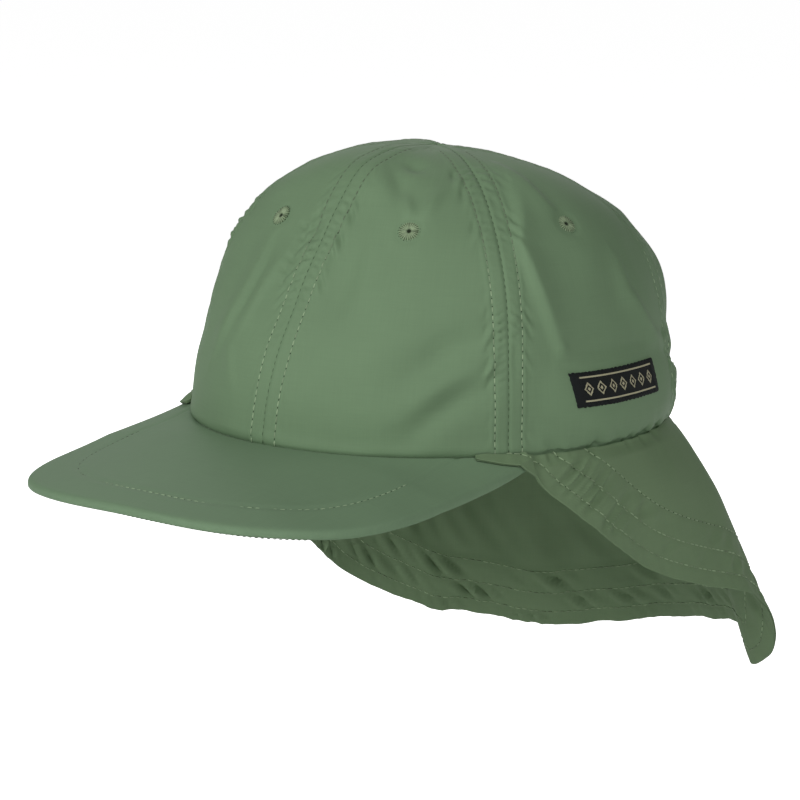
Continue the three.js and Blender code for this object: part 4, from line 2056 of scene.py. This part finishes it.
    def body(self) -> bpy.types.Object:
        """The cloth as a closed body, its hem turned under and its facing sewn on.

        Returns:
            The cloth as one object.
        """
        hem = self.outer[:, -1]
        down = unit(self.outer[:, -1] - self.outer[:, -3])
        normal = self.normals[:, -1]
        across = np.linalg.norm(self.outer[:, -1] - self.inner[:, -1], axis=-1)
        section = [hem + down * along - normal * (depth * across)[:, None]
                   for along, depth in self.hem_section]
        loops = np.concatenate([self.outer, np.stack(section, 1), self.inner[:, ::-1]], 1)
        fold = np.repeat(self.coords[:, -1:], len(self.hem_section), 1)
        coords = np.concatenate([self.coords, fold, self.coords[:, ::-1]], 1)
        return loop_mesh("flap_cloth", loops, coords)

    def stitch_paths(self, inside: bool) -> list[ThreadPath]:
        """Lines of stitching parallel to the hem, on one face of the cloth.

        Args:
            inside: whether the face is the one towards the neck.

        Returns:
            The paths.
        """
        face = self.inner if inside else self.outer
        normals = -self.normals if inside else self.normals
        paths = []
        for line in self.stitch_lines:
            columns, rows = [], []
            for i, gaps in enumerate(self.hem_gap):
                hits = np.nonzero((gaps[:-1] > line) & (gaps[1:] <= line))[0]
                if len(hits):
                    j = hits[-1]
                    columns.append(i)
                    rows.append(j + (gaps[j] - line) / (gaps[j] - gaps[j + 1]))
            columns, rows = np.array(columns, float), np.array(rows, float)
            paths.append(ThreadPath(sample_grid(face, columns, rows),
                                    unit(sample_grid(normals, columns, rows))))
        return paths


# Label


@dataclass
class Label:
    """Woven label, its ends turned under, sewn flat on the wearer's left side."""

    crown: Crown
    length: float = 50.5
    height: float = 12.8
    thickness: float = 0.75
    lean: float = -0.3
    skew: float = -0.2
    frayed: float = 0.14
    fray_width: float = 1.6
    frays: tuple[Ripple, Ripple] = (Ripple(2.1, 57), Ripple(2.1, 58))
    fold: float = 0.22
    fold_edge: tuple[float, float] = (3.2, 4.2)
    wave: float = 0.12
    waves: Ripple = Ripple(15, 55)
    stitch_dent: float = 0.22
    stitch_dent_width: float = 0.5
    round_edge: tuple[float, float] = (-0.5, 0.7)
    back_sink: float = 0.25
    stitch_sink: float = 0.1
    columns: int = 150
    rows: int = 40
    stitch_inset: float = 1.0

    def face(self, across: Array, up: Array, lift: Array) -> tuple[Array, Array]:
        """Points over the crown beside the label's middle, with the normals there.

        Args:
            across: distance from the middle towards the back.
            up: distance above the middle.
            lift: height over the cloth.

        Returns:
            The points and the crown's normals.
        """
        crown = self.crown
        sag = -self.lean * across / self.length
        rise = (crown.label_rise + up + sag) / crown.height
        across = across + self.skew * up
        turn = np.full_like(across, np.radians(crown.label_turn))
        centre = turn.copy()
        small = 0.002
        for _ in range(3):
            middle = (turn + centre) / 2
            ahead = crown.point(middle + small, rise) - crown.point(middle - small, rise)
            turn = centre + across / (np.linalg.norm(ahead, axis=-1) / (2 * small))
        points = crown.face(turn, rise)
        normals = crown.normal(turn, rise)
        return points + normals * lift[..., None], normals

    def body(self) -> bpy.types.Object:
        """The label as a closed body with rounded edges.

        Returns:
            The label as one object.
        """
        x = self.length / 2 * np.linspace(-1, 1, self.columns + 1)[:, None]
        y = self.height / 2 * np.linspace(-1, 1, self.rows + 1)[None, :]
        x, y = np.broadcast_arrays(x, y)
        edge = np.minimum(self.length / 2 - np.abs(x), self.height / 2 - np.abs(y))
        ragged = self.frayed * (1 - smooth_step(edge, 0, self.fray_width))
        side, end = self.frays
        x, y = x + ragged * side(y + 0.2 * x), y + ragged * end(x + 0.2 * y)
        fold = self.fold * (1 - smooth_step(self.length / 2 - np.abs(x), *self.fold_edge))
        wave = self.wave * self.waves(x + 0.4 * y)
        dent = -self.stitch_dent * bell(edge - self.stitch_inset, self.stitch_dent_width)
        lift = self.thickness * smooth_step(edge, *self.round_edge) + fold + wave + dent
        outer, _ = self.face(x, y, lift)
        inner, _ = self.face(x, y, np.full_like(x, -self.back_sink))
        coords = np.stack([x, y], -1)
        loops = np.concatenate([outer, inner[:, ::-1]], 1)
        return loop_mesh("label_woven", loops, np.concatenate([coords, coords[:, ::-1]], 1))

    def stitch_path(self) -> ThreadPath:
        """Line of stitching round the label, just inside its edge.

        Returns:
            The path.
        """
        a, b = self.length / 2 - self.stitch_inset, self.height / 2 - self.stitch_inset
        corners = np.array([(-a, -b), (a, -b), (a, b), (-a, b), (-a, -b)])
        run = run_length(corners)
        steps = np.linspace(0, run[-1], 300)
        x, y = (np.interp(steps, run, corners[:, k]) for k in (0, 1))
        points, normals = self.face(x, y, np.full_like(x, self.thickness - self.stitch_sink))
        return ThreadPath(points, normals)


# Studio


class Lamp(NamedTuple):
    """A soft square light: where it stands in degrees, its side in metres and its watts."""

    name: str
    azimuth: float
    elevation: float
    size: float
    power: float


LAMPS = (
    Lamp("key_left", -14.0, 27.0, 1.0, 19.5),
    Lamp("key_right", 52.0, 28.0, 1.0, 14.5),
    Lamp("side", 120.0, 5.0, 0.8, 2.2),
    Lamp("top", 0.0, 86.0, 0.8, 0.7),
    Lamp("back", 215.0, 30.0, 1.6, 12.0),
)


@dataclass
class Studio:
    """Pale floor, soft light and the camera."""

    target: tuple[float, float, float] = (0.0, 0.0, 30.0)
    azimuth: float = 38.349
    elevation: float = 9.427
    roll: float = -1.496
    distance: float = 1310.17
    pixels_per_mm: float = 2.583
    target_pixel: tuple[float, float] = (431.32, 334.21)
    image_pixels: float = 800.0
    sensor: float = 36.0
    floor_depth: float = -300.0
    floor_half: float = 40000.0
    sweep: tuple[float, float] = (60.0, 540.0)
    floor_glow: float = 0.96
    floor_tones: tuple[float, float] = (0.94, 0.96)
    floor_patch: float = 300.0
    lamp_distance: float = 1.9
    world_strength: float = 0.03

    def camera(self) -> bpy.types.Object:
        """Camera at the photograph's place, aimed so that the target meets its pixel.

        Returns:
            The camera.
        """
        a, e, r = (math.radians(v) for v in (self.azimuth, self.elevation, self.roll))
        back = Vector((math.sin(a) * math.cos(e), -math.cos(a) * math.cos(e), math.sin(e)))
        right = Vector((math.cos(a), math.sin(a), 0))
        up = back.cross(right)
        x_axis = right * math.cos(r) - up * math.sin(r)
        y_axis = right * math.sin(r) + up * math.cos(r)
        target = Vector(self.target)
        place = target + back * self.distance
        centre = self.image_pixels / 2
        aim = target + x_axis * ((centre - self.target_pixel[0]) / self.pixels_per_mm)
        aim += y_axis * ((self.target_pixel[1] - centre) / self.pixels_per_mm)
        forward = (aim - place).normalized()
        x_axis = (x_axis - forward * x_axis.dot(forward)).normalized()
        z_axis = -forward
        y_axis = z_axis.cross(x_axis)
        lens = self.pixels_per_mm * self.distance / self.image_pixels * self.sensor
        data = bpy.data.cameras.new("camera")
        data.sensor_width = self.sensor
        data.lens = lens
        data.clip_start, data.clip_end = 0.05, 200.0
        camera = bpy.data.objects.new("camera", data)
        turned = Matrix((x_axis, y_axis, z_axis)).transposed().to_4x4()
        camera.matrix_world = Matrix.Translation(place * MM) @ turned
        bpy.context.scene.collection.objects.link(camera)
        bpy.context.scene.camera = camera
        return camera

    def floor(self) -> bpy.types.Object:
        """Wide pale floor, well below the cap.

        Returns:
            The floor.
        """
        half = self.floor_half
        corners = np.array([(-half, -half), (half, -half), (half, half), (-half, half)])
        points = np.column_stack([corners, np.full(4, self.floor_depth)])
        piece = grid_object("floor", points, np.array([[0, 1, 2, 3]]), corners)
        material, graph, shader = new_material("floor_paper")
        across, up = graph.cloth_place()
        tone = graph.noise(across / self.floor_patch, up / self.floor_patch)
        dark, light = ((level, level, level, 1.0) for level in self.floor_tones)
        colour = graph.mix(tone, dark, light)
        turn = math.radians(self.azimuth)
        behind = across * -math.sin(turn) + up * math.cos(turn)
        glow = graph.mix(behind.ramp(*self.sweep), (0, 0, 0, 1.0), (1.0, 1.0, 1.0, 1.0))
        graph.tree.links.new(colour, shader.inputs["Base Color"])
        graph.tree.links.new(glow, shader.inputs["Emission Color"])
        shader.inputs["Emission Strength"].default_value = self.floor_glow
        shader.inputs["Roughness"].default_value = 0.9
        shader.inputs["Specular IOR Level"].default_value = 0.1
        piece.data.materials.append(material)
        return piece

    def light(self, lamp: Lamp) -> None:
        """Soft square light that faces the cap.

        Args:
            lamp: where it stands, its size and its power.
        """
        a, e = math.radians(lamp.azimuth), math.radians(lamp.elevation)
        back = Vector((math.sin(a) * math.cos(e), -math.cos(a) * math.cos(e), math.sin(e)))
        data = bpy.data.lights.new(lamp.name, "AREA")
        data.shape = "SQUARE"
        data.size = lamp.size
        data.energy = lamp.power
        light = bpy.data.objects.new(lamp.name, data)
        light.location = back * self.lamp_distance
        light.rotation_mode = "QUATERNION"
        light.rotation_quaternion = back.to_track_quat("Z", "Y")
        bpy.context.scene.collection.objects.link(light)

    def world(self) -> None:
        """Even white surroundings."""
        world = bpy.data.worlds.new("white_room")
        world.use_nodes = True
        inputs = world.node_tree.nodes["Background"].inputs
        inputs["Color"].default_value = (1, 1, 1, 1)
        inputs["Strength"].default_value = self.world_strength
        scene = bpy.context.scene
        scene.world = world
        scene.view_settings.view_transform = "Standard"
        scene.view_settings.look = "None"


# The cap


CROWN_CLOTH = ClothFinish("crown_microfibre", linear(112, 137, 106))
PEAK_CLOTH = ClothFinish("peak_microfibre", linear(112, 137, 108))
FLAP_CLOTH = ClothFinish("flap_microfibre", linear(110, 132, 100))
# Painted shade: crown thread darkens towards the crown's top, peak thread towards the wearer's right.
CROWN_THREAD = ThreadFinish("crown_thread", linear(146, 166, 134), fade=PaintedThreadShade(2, 58, 80))
PEAK_THREAD = ThreadFinish("peak_thread", linear(146, 166, 134), fade=PaintedThreadShade(0, -5, -50, 0.75))
FLAP_THREAD = ThreadFinish("flap_thread", linear(136, 156, 124), 0.35)
# Painted shade: the seam's own thread is coloured darker than the topstitch thread, as the shade in the
# groove it lies in.
GROOVE_SHADED_THREAD = ThreadFinish("seam_thread", linear(76, 96, 70))
# Painted shade: a dark colour for beads laid where the cloth dips between stitches and round the eyelets,
# and for the peak's edge stitching under its wrapped edge.
NEEDLE_HOLE_SHADE = ThreadFinish("needle_hole", linear(50, 66, 46), 0.15, 0.9)
EYELET_THREAD = ThreadFinish("eyelet_floss", linear(140, 158, 126))
# Painted shade: the base ring is dark, as the shade between the floss threads and in the eyelet's hole.
EYELET_BASE = ThreadFinish("eyelet_base", linear(66, 82, 58), 0.6)

TOPSTITCH = ThreadRun(pitch=2.87, length=2.4, width=0.5, height=0.42, dip=0.16, lift=0.06)
# Painted shade: dark beads in the gaps between stitches.
HOLE_SHADE = ThreadRun(pitch=2.87, length=0.8, width=0.62, height=0.3, dip=0.0, lift=-0.02)
EDGE_STITCH = ThreadRun(pitch=2.1, length=1.3, width=0.34, height=0.2, dip=0.05)
SEAM_STITCH = ThreadRun(pitch=2.6, length=1.7, width=0.4, height=0.3, dip=0.1, lift=0.1)
FLAP_STITCH = ThreadRun(pitch=2.9, length=2.4, width=0.5, height=0.5, dip=0.16, lift=0.13)
# Painted shade: dark beads in the gaps between the flap's stitches.
FLAP_HOLE_SHADE = ThreadRun(pitch=2.9, length=0.7, width=0.44, height=0.24, dip=0.0, lift=-0.02)
LABEL_STITCH = ThreadRun(pitch=2.0, length=1.5, width=0.3, height=0.26, dip=0.12, lift=0.02)
RADIAL_STITCH = ThreadRun(pitch=0.58, length=3.4, width=0.5, height=0.5, dip=0.22)
# Painted shade: dark beads round each eyelet's rim.
EYELET_HOLE_SHADE = ThreadRun(pitch=1.25, length=0.4, width=0.5, height=0.3, dip=0.0)


def build_crown(crown: Crown, tree: ThreadTree) -> None:
    """Builds the panels, their stitching and the eyelets.

    Args:
        crown: the crown's sizes and form.
        tree: the tree that lays the stitches.
    """
    cloth = CROWN_CLOTH.material()
    base = EYELET_BASE.material()
    for number, name in enumerate(crown.panel_names):
        fit_to_frame(crown.panel(number), cloth, [f"crown_panel_{name}"])
        fit_to_frame(crown.eyelet(number), base, [f"eyelet_{name}"])
    hole_shade = NEEDLE_HOLE_SHADE.material()
    thread = CROWN_THREAD.material()
    paths = crown.seam_paths((-crown.seam_offset, crown.seam_offset), crown.stitch_top)
    stitches = TOPSTITCH.sew("crown_topstitching", paths, tree, thread)
    fit_to_frame(stitches, thread)
    # Painted shade: dark beads in the gaps between the topstitches.
    between = [path.trimmed(TOPSTITCH.pitch / 2) for path in paths]
    fit_to_frame(HOLE_SHADE.sew("crown_needle_holes", between, tree, hole_shade), hole_shade)
    # Painted shade: the seam thread is coloured as dark as its groove's shade.
    groove_shade = GROOVE_SHADED_THREAD.material()
    seams = crown.seam_paths((0.0,), crown.seam_top)
    fit_to_frame(SEAM_STITCH.sew("crown_seam_thread", seams, tree, groove_shade), groove_shade)
    floss = EYELET_THREAD.material()
    circles = [crown.eyelet_path(k, *crown.eyelet_thread) for k in range(6)]
    fit_to_frame(RADIAL_STITCH.sew("eyelet_threads", circles, tree, floss), floss)
    # Painted shade: a ring of dark beads round each eyelet's rim.
    rims = [crown.eyelet_path(k, *crown.eyelet_hole_shade) for k in range(6)]
    fit_to_frame(EYELET_HOLE_SHADE.sew("eyelet_rim_holes", rims, tree, hole_shade), hole_shade)


def build_peak(peak: Peak, tree: ThreadTree) -> None:
    """Builds the peak's covers and their stitching.

    Args:
        peak: the peak's sizes and form.
        tree: the tree that lays the stitches.
    """
    cloth = PEAK_CLOTH.material()
    thread = PEAK_THREAD.material()
    hole_shade = NEEDLE_HOLE_SHADE.material()
    fit_to_frame(peak.top_cover(), cloth, ["peak_top_cover"])
    fit_to_frame(peak.under_cover(), cloth, ["peak_under_cover"])
    paths = [peak.stitch_path(), peak.stitch_path(peak.thickness)]
    fit_to_frame(TOPSTITCH.sew("peak_topstitching", paths, tree, thread), thread)
    # Painted shade: dark beads in the gaps between the topstitches.
    between = [path.trimmed(TOPSTITCH.pitch / 2) for path in paths]
    fit_to_frame(HOLE_SHADE.sew("peak_needle_holes", between, tree, hole_shade), hole_shade)
    # Painted shade: the edge stitching is coloured as dark as the shade under the wrapped edge.
    edge = EDGE_STITCH.sew("peak_edge_thread", [peak.edge_path()], tree, hole_shade)
    fit_to_frame(edge, hole_shade)


def build_flap(flap: Flap, tree: ThreadTree) -> None:
    """Args:
        flap: the flap's sizes and form.
        tree: the tree that lays the stitches.
    """
    cloth = FLAP_CLOTH.material()
    thread = FLAP_THREAD.material()
    hole_shade = NEEDLE_HOLE_SHADE.material()
    body = fit_to_frame(flap.body(), cloth, ["neck_flap"])
    paths = flap.stitch_paths(False) + flap.stitch_paths(True)
    stitches = FLAP_STITCH.sew("flap_topstitching", paths, tree, thread)
    fit_to_frame(stitches, thread)
    # Painted shade: dark beads in the gaps between the stitches.
    between = [path.trimmed(FLAP_STITCH.pitch / 2) for path in paths]
    hole_shade_beads = fit_to_frame(FLAP_HOLE_SHADE.sew("flap_needle_holes", between, tree, hole_shade), hole_shade)


def build_label(label: Label, tree: ThreadTree) -> None:
    """Builds the label and its stitching.

    Args:
        label: the label's sizes and form.
        tree: the tree that lays the stitches.
    """
    weave = LabelFinish(
        "label_damask",
        linear(22, 26, 26),
        linear(186, 182, 150),
        label.height / 2,
    ).material()
    thread = ThreadFinish("label_thread", linear(30, 34, 33)).material()
    fit_to_frame(label.body(), weave, ["label"])
    stitches = LABEL_STITCH.sew("label_stitching", [label.stitch_path()], tree, thread)
    fit_to_frame(stitches, thread)


def main() -> None:
    """Builds the cap piece by piece, then the studio round it."""
    logging.basicConfig(level=logging.INFO, format="%(name)s: %(message)s")
    tree = ThreadTree()
    crown = Crown()
    build_crown(crown, tree)
    peak = Peak(crown)
    build_peak(peak, tree)
    build_flap(Flap(crown, peak), tree)
    build_label(Label(crown), tree)
    studio = Studio()
    studio.floor()
    studio.world()
    for lamp in LAMPS:
        studio.light(lamp)
    studio.camera()


if __name__ == "__main__":
    main()
